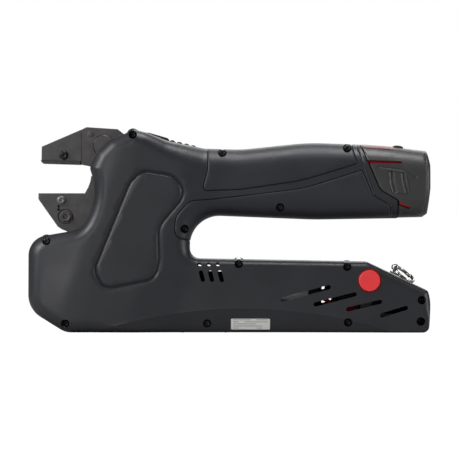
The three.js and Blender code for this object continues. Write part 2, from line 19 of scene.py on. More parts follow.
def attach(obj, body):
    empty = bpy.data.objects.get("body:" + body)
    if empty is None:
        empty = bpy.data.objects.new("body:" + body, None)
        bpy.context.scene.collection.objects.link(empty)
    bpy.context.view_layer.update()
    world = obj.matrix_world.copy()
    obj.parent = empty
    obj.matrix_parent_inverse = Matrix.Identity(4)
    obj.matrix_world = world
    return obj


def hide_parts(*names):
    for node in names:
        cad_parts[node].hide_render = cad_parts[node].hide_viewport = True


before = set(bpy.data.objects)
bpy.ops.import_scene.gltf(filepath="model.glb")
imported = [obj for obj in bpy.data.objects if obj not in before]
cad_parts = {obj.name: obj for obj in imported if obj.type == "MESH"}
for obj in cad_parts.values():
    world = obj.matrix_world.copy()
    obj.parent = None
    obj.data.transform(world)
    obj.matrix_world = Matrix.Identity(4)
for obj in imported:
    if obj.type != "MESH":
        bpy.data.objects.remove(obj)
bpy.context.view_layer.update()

scene = bpy.context.scene
MM = 0.001

# %% [markdown]
# ## The camera and the light
# A tool like this is shown flat on, jaws to the left, through a long lens so that the sides stay
# parallel. The camera stands two metres away, level with the middle of the tool.
# The light is a white tent: a pale world, a pale floor and a few large soft lamps. Large lamps
# draw the wide soft highlights that let the eye read black plastic. The world is brighter to
# the camera than it is as a light, so the ground stays white and the plastic stays dark.

# %% Camera
VIEW_DISTANCE = 2.0
VIEW_HEIGHT = 0.07175
FRAME_WIDTH = 0.3206
SENSOR_WIDTH = 36.0

lens = bpy.data.cameras.new("camera")
lens.sensor_width = SENSOR_WIDTH
lens.lens = SENSOR_WIDTH * VIEW_DISTANCE / FRAME_WIDTH
camera = bpy.data.objects.new("camera", lens)
camera.location = (0, -VIEW_DISTANCE, VIEW_HEIGHT)
camera.rotation_euler = (radians(90), 0, 0)
scene.collection.objects.link(camera)
scene.camera = camera
scene.view_settings.view_transform = "Standard"
print("lens:", round(lens.lens, 1), "mm")


# %% One function for every shader node
def add(tree, kind, sockets=None, **settings):
    """Adds one node, with its settings and what its sockets take: a value or another output."""
    made = tree.nodes.new("ShaderNode" + kind)
    for key, value in settings.items():
        setattr(made, key, value)
    for key, value in (sockets or {}).items():
        if isinstance(value, bpy.types.NodeSocket):
            tree.links.new(value, made.inputs[key])
        else:
            made.inputs[key].default_value = value
    return made


def linear(code):
    """A colour written as sRGB hex, such as #35363a, as the linear values that a shader takes."""
    levels = [int(code[i:i + 2], 16) / 255 for i in (1, 3, 5)]
    return [v / 12.92 if v <= 0.04045 else ((v + 0.055) / 1.055) ** 2.4 for v in levels] + [1.0]


# %% An empty finish
def new_finish(name):
    """A material with an empty node tree, and that tree."""
    material = bpy.data.materials.new(name)
    material.use_nodes = True
    material.node_tree.nodes.clear()
    return material, material.node_tree


# %% Lamps
def soft_lamp(name, place, size, power):
    """A square softbox that faces the middle of the tool."""
    lamp = bpy.data.lights.new(name, "AREA")
    lamp.size = size
    lamp.energy = power
    holder = bpy.data.objects.new(name, lamp)
    holder.location = place
    to_tool = Vector((0, 0, VIEW_HEIGHT)) - Vector(place)
    holder.rotation_euler = to_tool.to_track_quat("-Z", "Y").to_euler()
    scene.collection.objects.link(holder)


soft_lamp("front_softbox", (-0.62, -1.5, 0.34), 0.3, 3.5)
soft_lamp("key_softbox", (-1.25, -0.5, 0.8), 0.5, 14)
soft_lamp("top_softbox", (0.1, -0.1, 1.35), 0.6, 11)
soft_lamp("right_softbox", (1.3, -0.4, 0.3), 0.5, 5)
soft_lamp("back_softbox", (0.2, 1.3, 0.9), 0.9, 6)

# %% World
PALE = linear("#f4f4f4")
TENT_LIGHT = 0.13       # what the tent gives as a light; it looks at full strength

world = bpy.data.worlds.new("white_tent")
world.use_nodes = True
scene.world = world
tent = world.node_tree
tent.nodes.clear()
seen = add(tent, "LightPath").outputs["Is Camera Ray"]
as_light = add(tent, "Background", {"Color": PALE, "Strength": TENT_LIGHT})
as_ground = add(tent, "Background", {"Color": linear("#ffffff"), "Strength": 1.0})
both = add(tent, "MixShader", {0: seen, 1: as_light.outputs[0], 2: as_ground.outputs[0]})
add(tent, "OutputWorld", {"Surface": both.outputs[0]})
print("world:", world.name)

# %% Floor
FLOOR_SIZE = 6.0
FLOOR_DROP = 0.0004
PAPER_GLOW = 1.06       # strength of the white that the camera sees
PAPER_SHARE = 0.95      # how much of the paper is that white, so that shadows still show

paper, paper_tree = new_finish("matt_white_paper")
fibre = add(paper_tree, "TexNoise", {"Scale": 900.0, "Detail": 2.0})
grain = add(paper_tree, "Bump", {"Height": fibre.outputs[0], "Strength": 0.05, "Distance": 0.0002})
sheet = add(paper_tree, "BsdfPrincipled", {
    "Base Color": linear("#a8a8a8"), "Roughness": 0.9, "Normal": grain.outputs[0]})
glow = add(paper_tree, "Emission", {"Color": linear("#ffffff"), "Strength": PAPER_GLOW})
looked_at = add(paper_tree, "LightPath").outputs["Is Camera Ray"]
share = add(paper_tree, "Math", {0: looked_at, 1: PAPER_SHARE}, operation="MULTIPLY")
paper_face = add(paper_tree, "MixShader", {
    0: share.outputs[0], 1: sheet.outputs[0], 2: glow.outputs[0]})
add(paper_tree, "OutputMaterial", {"Surface": paper_face.outputs[0]})

floor_mesh = bpy.data.meshes.new("floor")
reach = FLOOR_SIZE / 2
corners = [(-reach, -reach), (reach, -reach), (reach, reach), (-reach, reach)]
floor_mesh.from_pydata([(x, y, -FLOOR_DROP) for x, y in corners], [], [(0, 1, 2, 3)])
floor_mesh.materials.append(paper)
floor = bpy.data.objects.new("floor", floor_mesh)
scene.collection.objects.link(floor)
print("floor:", FLOOR_SIZE, "m square")

# %% [markdown]
# ## Finishes: the mouldings
# The housing is glass-filled nylon from a spark-eroded mould. The mould leaves a fine even grain,
# and the glass at the surface turns black plastic into a soft dark grey with a wide, weak shine.
# The real grain is about 0.15 mm across, too fine to show, so it is drawn near 0.6 mm.
# Handling polishes the raised edges, so they get a slightly lighter and smoother tone.
# A bevel node gives the normal that a softened edge would have. Where that normal turns away
# from the real one there is an edge, and the worn tone is mixed in.
# One recipe serves every moulded plastic: cloudy colour, worn edges, grain and uneven polish.

# %% Wear along the edges
EDGE_WEAR = 0.35    # how far from an edge the wear reaches, in mm
WEAR_SAMPLES = 4
WEAR_STARTS, WEAR_FULL = 0.98, 0.8      # cosine of the turn where wear starts, and is full
CLOUD_MM = 28       # size of the soft clouds in a plastic's tone


def wear(tree, most):
    """How far each place is rubbed, from 0 on the flat to most along the edges."""
    flat = add(tree, "NewGeometry").outputs["Normal"]
    eased = add(tree, "Bevel", {"Radius": EDGE_WEAR * MM}, samples=WEAR_SAMPLES)
    turn = add(tree, "VectorMath", {0: flat, 1: eased.outputs[0]}, operation="DOT_PRODUCT")
    rubbed = add(tree, "MapRange", {
        "Value": turn.outputs["Value"], "From Min": WEAR_STARTS, "From Max": WEAR_FULL,
        "To Min": 0.0, "To Max": most})
    return rubbed.outputs[0]


# %% The recipe for moulded plastic
def moulded(name, tone, worn, polish, grain_mm, depth_mm, cloud=0.18, specular=0.5, coat=0.0):
    """A moulded plastic: tone and worn-edge colours, roughness, and the mould grain's size."""
    material, tree = new_finish(name)
    place = add(tree, "TexCoord").outputs["Object"]
    clouds = add(tree, "TexNoise", {"Vector": place, "Scale": 1 / (CLOUD_MM * MM), "Detail": 3.0})
    shade = add(tree, "MapRange", {
        "Value": clouds.outputs[0], "From Min": 0.3, "From Max": 0.7,
        "To Min": 1 - cloud / 2, "To Max": 1 + cloud / 2})
    body = add(tree, "VectorMath", {0: linear(tone)[:3], 3: shade.outputs[0]}, operation="SCALE")
    colour = add(tree, "Mix", {0: wear(tree, 0.6), 6: body.outputs[0], 7: linear(worn)},
                 data_type="RGBA")
    pits = add(tree, "TexNoise", {"Vector": place, "Scale": 1 / (grain_mm * MM), "Detail": 2.0})
    sheen = add(tree, "MapRange", {
        "Value": clouds.outputs[0], "From Min": 0.25, "From Max": 0.75,
        "To Min": polish - 0.06, "To Max": polish + 0.06})
    bump = add(tree, "Bump", {
        "Height": pits.outputs[0], "Strength": 0.5, "Distance": depth_mm * MM})
    skin = add(tree, "BsdfPrincipled", {
        "Base Color": colour.outputs[2], "Roughness": sheen.outputs[0],
        "Specular IOR Level": specular, "Coat Weight": coat, "Coat Roughness": 0.12,
        "IOR": 1.5, "Normal": bump.outputs[0]})
    add(tree, "OutputMaterial", {"Surface": skin.outputs[0]})
    return material


# %% The mouldings' finishes
glass_filled_nylon = moulded("glass_filled_nylon", "#26272c", "#38393f", 0.42, 0.6, 0.035)
# Soft rubber over the nylon: a touch darker, flatter and a little coarser.
soft_tpe_rubber = moulded("soft_tpe_rubber", "#292a30", "#3a3b41", 0.45, 0.8, 0.045, specular=0.45)
# The battery case is ABS with polycarbonate: smoother, so its shine is tighter.
battery_abs = moulded("battery_abs", "#39393a", "#4c4c4d", 0.4, 0.5, 0.025)
# A clear red polycarbonate over black shows as a deep red with a hard shine.
red_polycarbonate = moulded("red_polycarbonate", "#a3121f", "#c02a30", 0.28, 0.7, 0.01, cloud=0.1)
# The button's ring and the strip on top of the pack are a darker red.
dark_red_polycarbonate = moulded("dark_red_polycarbonate", "#6d1118", "#8c1d24", 0.35, 0.7, 0.01)
# The button is lacquered: even, bright red under a clear coat.
red_lacquer = moulded("red_lacquer", "#ff4144", "#ff6462", 0.36, 0.9, 0.01, cloud=0.06, coat=0.25)
# Inner mouldings are plain black nylon, never handled.
inner_black_nylon = moulded("inner_black_nylon", "#1d1d1f", "#2a2a2c", 0.55, 0.9, 0.03)
# Glass-epoxy board under a black solder mask.
solder_mask_board = moulded("solder_mask_board", "#1c211f", "#3a423e", 0.3, 1.2, 0.015)
# Wire sleeves are soft PVC, in bright signal colours or black.
red_pvc_sleeve = moulded("red_pvc_sleeve", "#f02a2c", "#ff5a56", 0.4, 1.0, 0.01)
black_pvc_sleeve = moulded("black_pvc_sleeve", "#18181a", "#2c2c2e", 0.4, 1.0, 0.01)
print("plastics and paper:", [m.name for m in bpy.data.materials])

# %% [markdown]
# ## Finishes: the metals
# The jaws are tool steel, blackened in a hot phosphate bath after machining. That gives a warm
# dark grey with a mottled tone, and it is thin, so edges rub through to bright steel.
# Turned and ground faces show fine parallel or ring-shaped tool marks. Noise stretched along one
# direction draws them: each line is about 0.1 mm wide on the real face, drawn near 0.5 mm.


# %% The recipe for machined metal
SPOT_MM = 5         # size of the mottling


def machined(name, tone, worn, metal, polish, mark_mm, stretch, depth_mm, mottle=0.3, turn=0.0):
    """A machined metal: its tone, worn edges, and tool marks that run along its local X."""
    material, tree = new_finish(name)
    place = add(tree, "TexCoord").outputs["Object"]
    turned = add(tree, "Mapping", {
        "Vector": place, "Rotation": (0, turn, 0), "Scale": (1 / stretch, 1.0, 1.0)})
    spots = add(tree, "TexNoise", {"Vector": place, "Scale": 1 / (SPOT_MM * MM), "Detail": 4.0})
    shade = add(tree, "MapRange", {
        "Value": spots.outputs[0], "From Min": 0.3, "From Max": 0.7,
        "To Min": 1 - mottle / 2, "To Max": 1 + mottle / 2})
    body = add(tree, "VectorMath", {0: linear(tone)[:3], 3: shade.outputs[0]}, operation="SCALE")
    colour = add(tree, "Mix", {0: wear(tree, 0.8), 6: body.outputs[0], 7: linear(worn)},
                 data_type="RGBA")
    marks = add(tree, "TexNoise", {
        "Vector": turned.outputs[0], "Scale": 1 / (mark_mm * MM), "Detail": 3.0})
    sheen = add(tree, "MapRange", {
        "Value": marks.outputs[0], "From Min": 0.3, "From Max": 0.7,
        "To Min": polish - 0.08, "To Max": polish + 0.08})
    bump = add(tree, "Bump", {
        "Height": marks.outputs[0], "Strength": 0.6, "Distance": depth_mm * MM})
    face = add(tree, "BsdfPrincipled", {
        "Base Color": colour.outputs[2], "Roughness": sheen.outputs[0], "Metallic": metal,
        "Normal": bump.outputs[0]})
    add(tree, "OutputMaterial", {"Surface": face.outputs[0]})
    return material


# %% The metals' finishes
# The jaws: blackened tool steel, mottled, with fine milling lines.
phosphated_tool_steel = machined(
    "phosphated_tool_steel", "#525050", "#757270", 0.35, 0.5, 0.5, 5, 0.03)
# The pivot's discs and the bolt head are ground after blackening, so they are a little lighter.
ground_tool_steel = machined(
    "ground_tool_steel", "#545251", "#7b7875", 0.45, 0.42, 0.45, 9, 0.03, turn=radians(40))
# Socket screws are black from an oxide bath, with an oily shine.
black_oxide_steel = machined(
    "black_oxide_steel", "#252424", "#6a6866", 0.6, 0.36, 0.5, 2, 0.01)
# Shafts, bearings and the motor's can are bare, with ring-shaped turning marks.
bright_turned_steel = machined(
    "bright_turned_steel", "#dfe0e2", "#efefef", 0.35, 0.36, 0.5, 6, 0.01, mottle=0.1)
# The split ring, its post and the cells are plated with nickel.
polished_nickel = machined(
    "polished_nickel", "#c8c7c4", "#e4e4e2", 1.0, 0.2, 0.6, 3, 0.004, mottle=0.08)
# Zinc plating is a flatter, plain grey.
zinc_plated_steel = machined(
    "zinc_plated_steel", "#7c7c7c", "#a0a0a0", 0.5, 0.45, 0.5, 2, 0.01, mottle=0.15)
# The drive nut and the contacts are brass.
rolled_brass = machined(
    "rolled_brass", "#c39a4a", "#dcc078", 1.0, 0.3, 0.6, 4, 0.006, mottle=0.12)
print("finishes so far:", len(bpy.data.materials))

# %% [markdown]
# ## The rating label
# The real plate is aluminised polyester foil with black printing. Here it is a blank form: a few
# plain ruled bars, with no words or marks. A foil is a bright metal with a soft satin shine.

# %% Label foil
LABEL_CENTRE = (14.9, 5.8)
LABEL_SIZE = (27.0, 8.0)
LABEL_THICK = 0.5
LABEL_MARGIN = 1.6      # left clear at each end
BAR_PITCH = 1.55        # from one row of bars to the next
BAR_SHARE = 0.32        # how much of a row its bar fills
BAR_CELL = 4.1          # length of one cell, which is either ruled or blank
CELL_STRETCH = 2.3      # keeps one row's cells apart from the next row's
RULED_SHARE = 0.62      # how many of the cells are ruled
INK = 0.6


def label_foil():
    """Satin foil with plain ruled bars across it."""
    material, tree = new_finish("satin_label_foil")
    place = add(tree, "TexCoord").outputs["Object"]
    axes = add(tree, "SeparateXYZ", {0: place})
    lines = add(tree, "Math", {0: axes.outputs[2], 1: 1 / (BAR_PITCH * MM)}, operation="MULTIPLY")
    row = add(tree, "Math", {0: lines.outputs[0]}, operation="FRACT")
    band = add(tree, "Math", {0: row.outputs[0], 1: BAR_SHARE}, operation="LESS_THAN")
    blocks = add(tree, "Mapping", {"Vector": place, "Scale": (1.0, 0.0, CELL_STRETCH)})
    snapped = add(tree, "VectorMath", {
        0: blocks.outputs[0], 1: (BAR_CELL * MM, 1.0, BAR_PITCH * MM * CELL_STRETCH)},
        operation="SNAP")
    cells = add(tree, "TexWhiteNoise", {"Vector": snapped.outputs[0]}, noise_dimensions="3D")
    ruled = add(tree, "Math", {0: cells.outputs[0], 1: RULED_SHARE}, operation="LESS_THAN")
    reach = (LABEL_SIZE[0] / 2 - LABEL_MARGIN) * MM
    left = add(tree, "Math", {0: axes.outputs[0], 1: -reach}, operation="GREATER_THAN")
    right = add(tree, "Math", {0: axes.outputs[0], 1: reach}, operation="LESS_THAN")
    ink = band
    for limit in (ruled, left, right):
        ink = add(tree, "Math", {0: ink.outputs[0], 1: limit.outputs[0]}, operation="MULTIPLY")
    ink = add(tree, "Math", {0: ink.outputs[0], 1: INK}, operation="MULTIPLY")
    colour = add(tree, "Mix", {0: ink.outputs[0], 6: linear("#f0f0ee"), 7: linear("#3c3c3c")},
                 data_type="RGBA")
    wave = add(tree, "TexNoise", {"Vector": place, "Scale": 1 / (3 * MM), "Detail": 1.0})
    bump = add(tree, "Bump", {"Height": wave.outputs[0], "Strength": 0.3, "Distance": 0.02 * MM})
    face = add(tree, "BsdfPrincipled", {
        "Base Color": colour.outputs[2], "Metallic": 0.1, "Roughness": 0.42,
        "Normal": bump.outputs[0]})
    add(tree, "OutputMaterial", {"Surface": face.outputs[0]})
    return material


satin_label_foil = label_foil()
print("finishes:", len(bpy.data.materials))

# %% [markdown]
# ## Lines: corners to smooth outlines
# Every moulding starts as a drawn outline, seen from the side. An outline is a list of corners,
# each with its rounding radius. We turn it into a closed line of short even steps, and we need
# three questions answered about any point: how far it is from the line, whether it is inside,
# and which way the line faces.


# %% From corners to a line of even steps
def rounded(corners, step=1.5):
    """A closed line in mm through corners (x, z) or (x, z, radius), in even steps."""
    line = []
    count = len(corners)
    for i, corner in enumerate(corners):
        here = Vector(corner[:2])
        radius = corner[2] if len(corner) > 2 else 0
        if not radius:
            line.append(here)
            continue
        back = (Vector(corners[i - 1][:2]) - here).normalized()
        ahead = (Vector(corners[(i + 1) % count][:2]) - here).normalized()
        half = acos(max(-1.0, min(1.0, back.dot(ahead)))) / 2
        start = here + back * radius / tan(half)
        centre = here + (back + ahead).normalized() * radius / sin(half)
        sweep = pi - 2 * half
        if back.x * ahead.y - back.y * ahead.x > 0:
            sweep = -sweep
        bits = max(3, round(abs(sweep) * radius / step))
        for k in range(bits + 1):
            line.append(centre + Matrix.Rotation(sweep * k / bits, 2) @ (start - centre))
    return even(np.array(line), step)


def even(line, step):
    """The same closed line, with long straight runs cut into steps."""
    cut = []
    for a, b in zip(line, np.roll(line, -1, 0)):
        length = np.linalg.norm(b - a)
        if length < 0.02:
            continue
        bits = max(1, round(length / step))
        cut += [a + (b - a) * k / bits for k in range(bits)]
    return np.array(cut)


# %% How far from a line, and inside or not
BLOCK = 500     # points handled at once, which keeps the memory small


def distance(points, line):
    """Shortest distance from each point to the closed line."""
    along = np.roll(line, -1, 0) - line
    span = (along ** 2).sum(-1)
    found = np.empty(len(points))
    for first in range(0, len(points), BLOCK):
        away = points[first:first + BLOCK, None] - line[None]
        share = np.clip((away * along).sum(-1) / span, 0, 1)
        away -= share[..., None] * along
        found[first:first + BLOCK] = np.sqrt((away ** 2).sum(-1).min(1))
    return found


def inside(points, line):
    """True for each point inside the closed line."""
    x, z = points[:, :1], points[:, 1:]
    ax, az = line[:, 0], line[:, 1]
    bx, bz = np.roll(ax, -1), np.roll(az, -1)
    level = np.where(bz == az, 1e-9, bz - az)
    crossed = ((az > z) != (bz > z)) & (x < ax + (z - az) * (bx - ax) / level)
    return crossed.sum(1) % 2 == 1


# %% Which way a line faces, and rows beside it
def inward(line):
    """Unit direction into the closed line at each of its points."""
    run = np.roll(line, -1, 0) - np.roll(line, 1, 0)
    run /= np.linalg.norm(run, axis=1)[:, None]
    square = np.stack([-run[:, 1], run[:, 0]], 1)
    probe = inside(line + square * 0.2, line)
    return square if probe.mean() > 0.5 else -square


def rows(line, offsets, slack=0.93):
    """Points beside the closed line at each offset, left out where the rows would cross."""
    facing = inward(line)
    found = []
    for offset in offsets:
        moved = line + facing * np.asarray(offset).reshape(-1, 1)
        keep = distance(moved, line) > slack * np.abs(offset)
        found.append(moved[keep])
    return np.concatenate(found)


def smooth(value, low, high):
    """0 below low, 1 above high and a soft S between them."""
    t = np.clip((value - low) / (high - low), 0, 1)
    return t * t * (3 - 2 * t)


# %% [markdown]
# ## The form of the whole body
# Housing, grips and battery share one rounded form, so that their surfaces run into each other.
# We describe the form by its half thickness at any point seen from the side. It is widest on a
# soft ridge that leans up the front, falls away toward the jaws, and tapers to the handle.
# Near the outline it rounds over like a quarter circle. A shallow scoop is cut along the foot,
# with a fine bead along its upper edge.

# %% Outlines of the body
SEAM = [(117, 79.3), (116.5, 91.4), (104.2, 98.6, 8), (99, 111), (90.6, 130.6)]
FOOT_AND_GAP = [
    (-73, 137.6), (-82, 134.6, 12), (-91.5, 125.5, 8), (-96.7, 114, 3.5), (-90.4, 94, 40),
    (-102, 71.6, 14), (-139.7, 65.2, 14), (-139.6, 16, 18), (-113.5, 0, 14), (0, 0),
    (138.4, 0, 4.5), (139.9, 22, 30), (137.9, 29, 3), (96, 48.9), (-27.4, 51.2, 7), (-28, 81.8, 21),
    (60, 78.3, 200)]
BACK_OF_HEAD = [
    (55, 131.9, 150), (8, 127, 100), (-17, 127.8), (-42.5, 132.8), (-57, 138.6), (-66, 140.8)]
PACK_END = [
    (117.6, 79.7), (134.5, 80.1), (137.6, 82.5), (139.6, 100, 30), (139.6, 116, 12),
    (137.6, 126), (110, 129.4)]
UPPER_GRIP = [
    (-15.7, 137), (-14.9, 114), (-18.3, 101, 3), (-17, 97.9, 2), (8, 98.6, 60),
    (50, 104.8, 120), (89.4, 116.8, 2), (85.4, 131), (84.6, 137)]
LOWER_GRIP = [
    (-24, 62.6), (-38.4, 65.6, 7), (-37.5, 80, 12), (-27.5, 91.6, 10), (-10, 93, 40),
    (50, 99.8, 120), (92.4, 113, 1.5), (99.6, 95.6, 5), (112.3, 88, 3), (113, 74), (-8, 74)]
PANEL = [
    (-93.2, 42.9, 9), (-68.5, 103.5, 16), (-60, 112.2, 9), (-37, 108.5, 13), (-29.6, 96, 11),
    (-48.9, 73, 18), (-48.2, 50, 14), (-51, 37.2, 10), (-86, 30.2, 8)]
# The handle's form is worked out as if it ran on past its end, so that only its sides are round.
LONG_END = [(176, 80.8), (176, 121.5), (137.6, 126), (110, 129.4)]
housing_line = rounded(FOOT_AND_GAP + SEAM + BACK_OF_HEAD)
long_line = rounded(FOOT_AND_GAP + LONG_END + [(91.4, 130.6)] + BACK_OF_HEAD)
form_line = rounded(FOOT_AND_GAP + PACK_END + [(91.4, 130.6)] + BACK_OF_HEAD)
upper_line, lower_line, panel_line = (rounded(c) for c in (UPPER_GRIP, LOWER_GRIP, PANEL))
print("housing outline:", len(housing_line), "steps")

# %% Half thickness of the form
TAPER_AT = [-60, -36, -22, 0, 14, 48, 76, 320]
TAPER = [11, 18, 22.4, 26.6, 27, 27, 24.5, 24.5]
RIDGE_LEAN = radians(20)
RIDGE_FOOT = (-118, 15)
RIDGE_SOFT = 4          # the taper is evened out over this far to each side
HEAD_RIM, HANDLE_RIM, ARM_RIM = 9, 17, 5.5      # rounding of the outline's edge
SCOOP_FROM, SCOOP_TO = -93, 112
SCOOP_RISE = 16.8
SCOOP_POWER = 0.8       # below 1 the scoop's edge rises faster at its ends
SCOOP_LEAN = radians(21)
SCOOP_SLOPE = tan(SCOOP_LEAN)
SCOOP_BEAD = 0.16       # a fine bead along the scoop's upper edge
BEAD_HALF = 0.7
SCOOP_RIM_CUT = 0.68    # how much sharper the outline's edge is under the scoop
END_ROUNDING = 4.0
END_WALL = [(134.5, 80.1), (137.6, 82.5), (139.6, 100), (139.6, 116), (137.6, 126)]


def there_and_back(path, step=0.8):
    """An open path as a closed line that runs along it and returns."""
    points = [np.array(p, float) for p in path]
    run = []
    for a, b in zip(points, points[1:]):
        bits = max(1, round(np.linalg.norm(b - a) / step))
        run += [a + (b - a) * k / bits for k in range(bits)]
    run.append(points[-1])
    return np.array(run + run[-2:0:-1])


end_path = there_and_back(END_WALL, 2.0)
print("half thickness:", min(TAPER), "to", max(TAPER), "mm")


# %% The form, at any point
def ridge_place(points):
    """How far a point is behind the leaning ridge, in mm."""
    x, z = points[:, 0] - RIDGE_FOOT[0], points[:, 1] - RIDGE_FOOT[1]
    return x * cos(RIDGE_LEAN) - z * sin(RIDGE_LEAN)


def edge_radius(points):
    """The rounding of the rim: wide on the handle, small on the arm, sharp under the scoop."""
    x, z = points[:, 0], points[:, 1]
    behind = smooth(x, -60, -15)
    under = smooth(x, SCOOP_FROM - 6, SCOOP_FROM + 30) * smooth(-z, -20, -8)
    wide = (HANDLE_RIM - HEAD_RIM) * behind * smooth(z, 58, 84)
    narrow = (HEAD_RIM - ARM_RIM) * behind * smooth(-z, -62, -45)
    return (HEAD_RIM + wide - narrow) * (1 - SCOOP_RIM_CUT * under)


def form_height(points):
    """Half thickness of the rounded form at each point, in mm."""
    at = ridge_place(points)
    spread = np.linspace(-RIDGE_SOFT, RIDGE_SOFT, 7)
    full = np.mean([np.interp(at + s, TAPER_AT, TAPER) for s in spread], 0)
    rim = np.minimum(edge_radius(points), full - 2)
    share = np.clip(distance(points, long_line) / rim, 0, 1)
    height = full - rim + rim * np.sqrt(1 - (1 - share) ** 2)
    near = 1 - np.clip(distance(points, end_path) / END_ROUNDING, 0, 1)
    height = height - END_ROUNDING * (1 - np.sqrt(1 - near ** 2))
    x, z = points[:, 0], points[:, 1]
    span = np.clip((x - SCOOP_FROM) / (SCOOP_TO - SCOOP_FROM), 0, 1)
    rise = SCOOP_RISE * np.sin(pi * span) ** SCOOP_POWER
    ends = smooth(span * (1 - span), 0, 0.04)
    bead = SCOOP_BEAD * ends * np.exp(-((z - rise) / BEAD_HALF) ** 2)
    return height - np.maximum(0, rise - z) * SCOOP_SLOPE + bead


# %% [markdown]
# ## A moulded skin
# A moulding is a thin shell. We spread points over its outline: close rows where the rim curves,
# rows along each groove, and an even grid between. A constrained triangulation joins them, each
# point is lifted to the form's height, the rim is drawn down to the parting line, and every
# screw hole becomes a round well with a floor. At the end the skin gets its real wall thickness.
# A height field like this suits a moulding, because a mould half can't undercut either.


# %% Points for a skin
def grid_points(line, spacing, clear):
    """An even grid of points inside the closed line, clear of it by some distance."""
    low, high = line.min(0), line.max(0)
    across = np.arange(low[0], high[0], spacing)
    up = np.arange(low[1], high[1], spacing * 0.87)
    x, z = np.meshgrid(across, up)
    x[1::2] += spacing / 2
    points = np.stack([x.ravel(), z.ravel()], 1)
    points = points[inside(points, line)]
    return points[distance(points, line) > clear]


def thinned(points, lines, gap):
    """The points that keep a gap from every line, so that no sliver triangles form."""
    for line in lines:
        points = points[distance(points, line) > gap]
    return points


def triangles(lines, loose):
    """Constrained triangulation of closed lines and loose points: places and triangles."""
    places, edges = [], []
    for line in lines:
        first, count = len(places), len(line)
        places += [Vector(p) for p in line]
        edges += [(first + i, first + (i + 1) % count) for i in range(count)]
    places += [Vector(p) for p in loose]
    flat, _, faces, *_ = delaunay_2d_cdt(places, edges, [], 0, 1e-5)
    return np.array([tuple(p) for p in flat]), faces


def covering(outlines, holes):
    """A test for places: inside every outline and outside every hole."""

    def belongs(middle):
        kept = np.full(len(middle), True)
        for line in outlines:
            kept &= inside(middle, line)
        for line in holes:
            kept &= ~inside(middle, line)
        return kept

    return belongs


# %% The skin maker
WALL = 2.2


def skin_mesh(name, side, lines, loose, belongs, height, floor_of=None, wells=(), wall=WALL):
    """A moulded skin: side is -1 for left or 1 for right, belongs says which places it covers."""
    flat, faces = triangles([*lines, *(line for line, _ in wells)], loose)
    middle = np.array([flat[list(f)].mean(0) for f in faces])
    kept = belongs(middle)
    for line, _ in wells:
        kept &= ~inside(middle, line)
    faces = [f for f, good in zip(faces, kept) if good]
    high = height(flat)
    build = bmesh.new()
    points = [build.verts.new((x * MM, side * h * MM, z * MM)) for (x, z), h in zip(flat, high)]
    for f in faces:
        build.faces.new([points[i] for i in f])
    for seat_line, seat in wells:
        sink_well(build, seat_line, side * seat * MM)
    if floor_of:
        draw_rim(build, side, floor_of)
    loners = [v for v in build.verts if not v.link_faces]
    bmesh.ops.delete(build, geom=loners, context="VERTS")
    bmesh.ops.recalc_face_normals(build, faces=build.faces)
    top = max(build.faces, key=lambda f: side * f.calc_center_median().y)
    if top.normal.y * side < 0:
        bmesh.ops.reverse_faces(build, faces=build.faces)
    mesh = bpy.data.meshes.new(name)
    build.to_mesh(mesh)
    build.free()
    return shaded(thickened(mesh, name, wall))


# %% Wells and rims
PARTING = 0.12              # each half stops this far from the middle
PARTING_CHAMFER = 0.35


def open_edges(build):
    """The edges with one face."""
    return [e for e in build.edges if len(e.link_faces) == 1]


def sink_well(build, line, seat):
    """Draws a screw hole's edge down to its seat and closes it with a floor."""
    around = []
    for e in open_edges(build):
        ends = np.array([[v.co.x / MM, v.co.z / MM] for v in e.verts])
        if distance(ends, line).max() < 0.02:
            around.append(e)
    drawn = bmesh.ops.extrude_edge_only(build, edges=around)["geom"]
    for v in (g for g in drawn if isinstance(g, bmesh.types.BMVert)):
        v.co.y = seat
    ring = [g for g in drawn if isinstance(g, bmesh.types.BMEdge)]
    bmesh.ops.contextual_create(build, geom=ring)


def draw_rim(build, side, floor_of):
    """Draws the outer rim down to the parting line, or to where a slot starts."""
    around = []
    for e in open_edges(build):
        middle = (e.verts[0].co + e.verts[1].co) / 2 / MM
        if floor_of(np.array([[middle.x, middle.z]]))[0] > 0:
            around.append(e)
    for chamfer in (False, True):
        drawn = bmesh.ops.extrude_edge_only(build, edges=around)["geom"]
        points = [g for g in drawn if isinstance(g, bmesh.types.BMVert)]
        around = [g for g in drawn if isinstance(g, bmesh.types.BMEdge)]
        flat = np.array([[v.co.x / MM, v.co.z / MM] for v in points])
        stops = np.abs(floor_of(flat))
        shift = inward_at(flat, form_line) * PARTING_CHAMFER if chamfer else flat * 0
        for v, stop, move in zip(points, stops, shift):
            lift = 0 if chamfer else PARTING_CHAMFER
            v.co.y = side * (stop + lift) * MM
            v.co.x += move[0] * MM
            v.co.z += move[1] * MM


def inward_at(points, line):
    """The inward direction of the closed line beside each point."""
    facing = inward(line)
    nearest = np.linalg.norm(points[:, None] - line[None], axis=-1).argmin(1)
    return facing[nearest]


# %% Wall, shading and the finished piece
CORNER = 34         # degrees; a steeper turn between faces is kept as a real corner


def thickened(mesh, name, wall):
    """The skin with its real wall thickness."""
    holder = bpy.data.objects.new(name, mesh)
    scene.collection.objects.link(holder)
    solid = holder.modifiers.new("wall", "SOLIDIFY")
    solid.thickness = wall * MM
    solid.offset = -1
    final = bpy.data.meshes.new_from_object(
        holder.evaluated_get(bpy.context.evaluated_depsgraph_get()))
    bpy.data.objects.remove(holder)
    return final


def shaded(mesh, corner=CORNER):
    """Shades the mesh smooth but for its real corners."""
    mesh.shade_smooth()
    mesh.set_sharp_from_angle(angle=radians(corner))
    return mesh


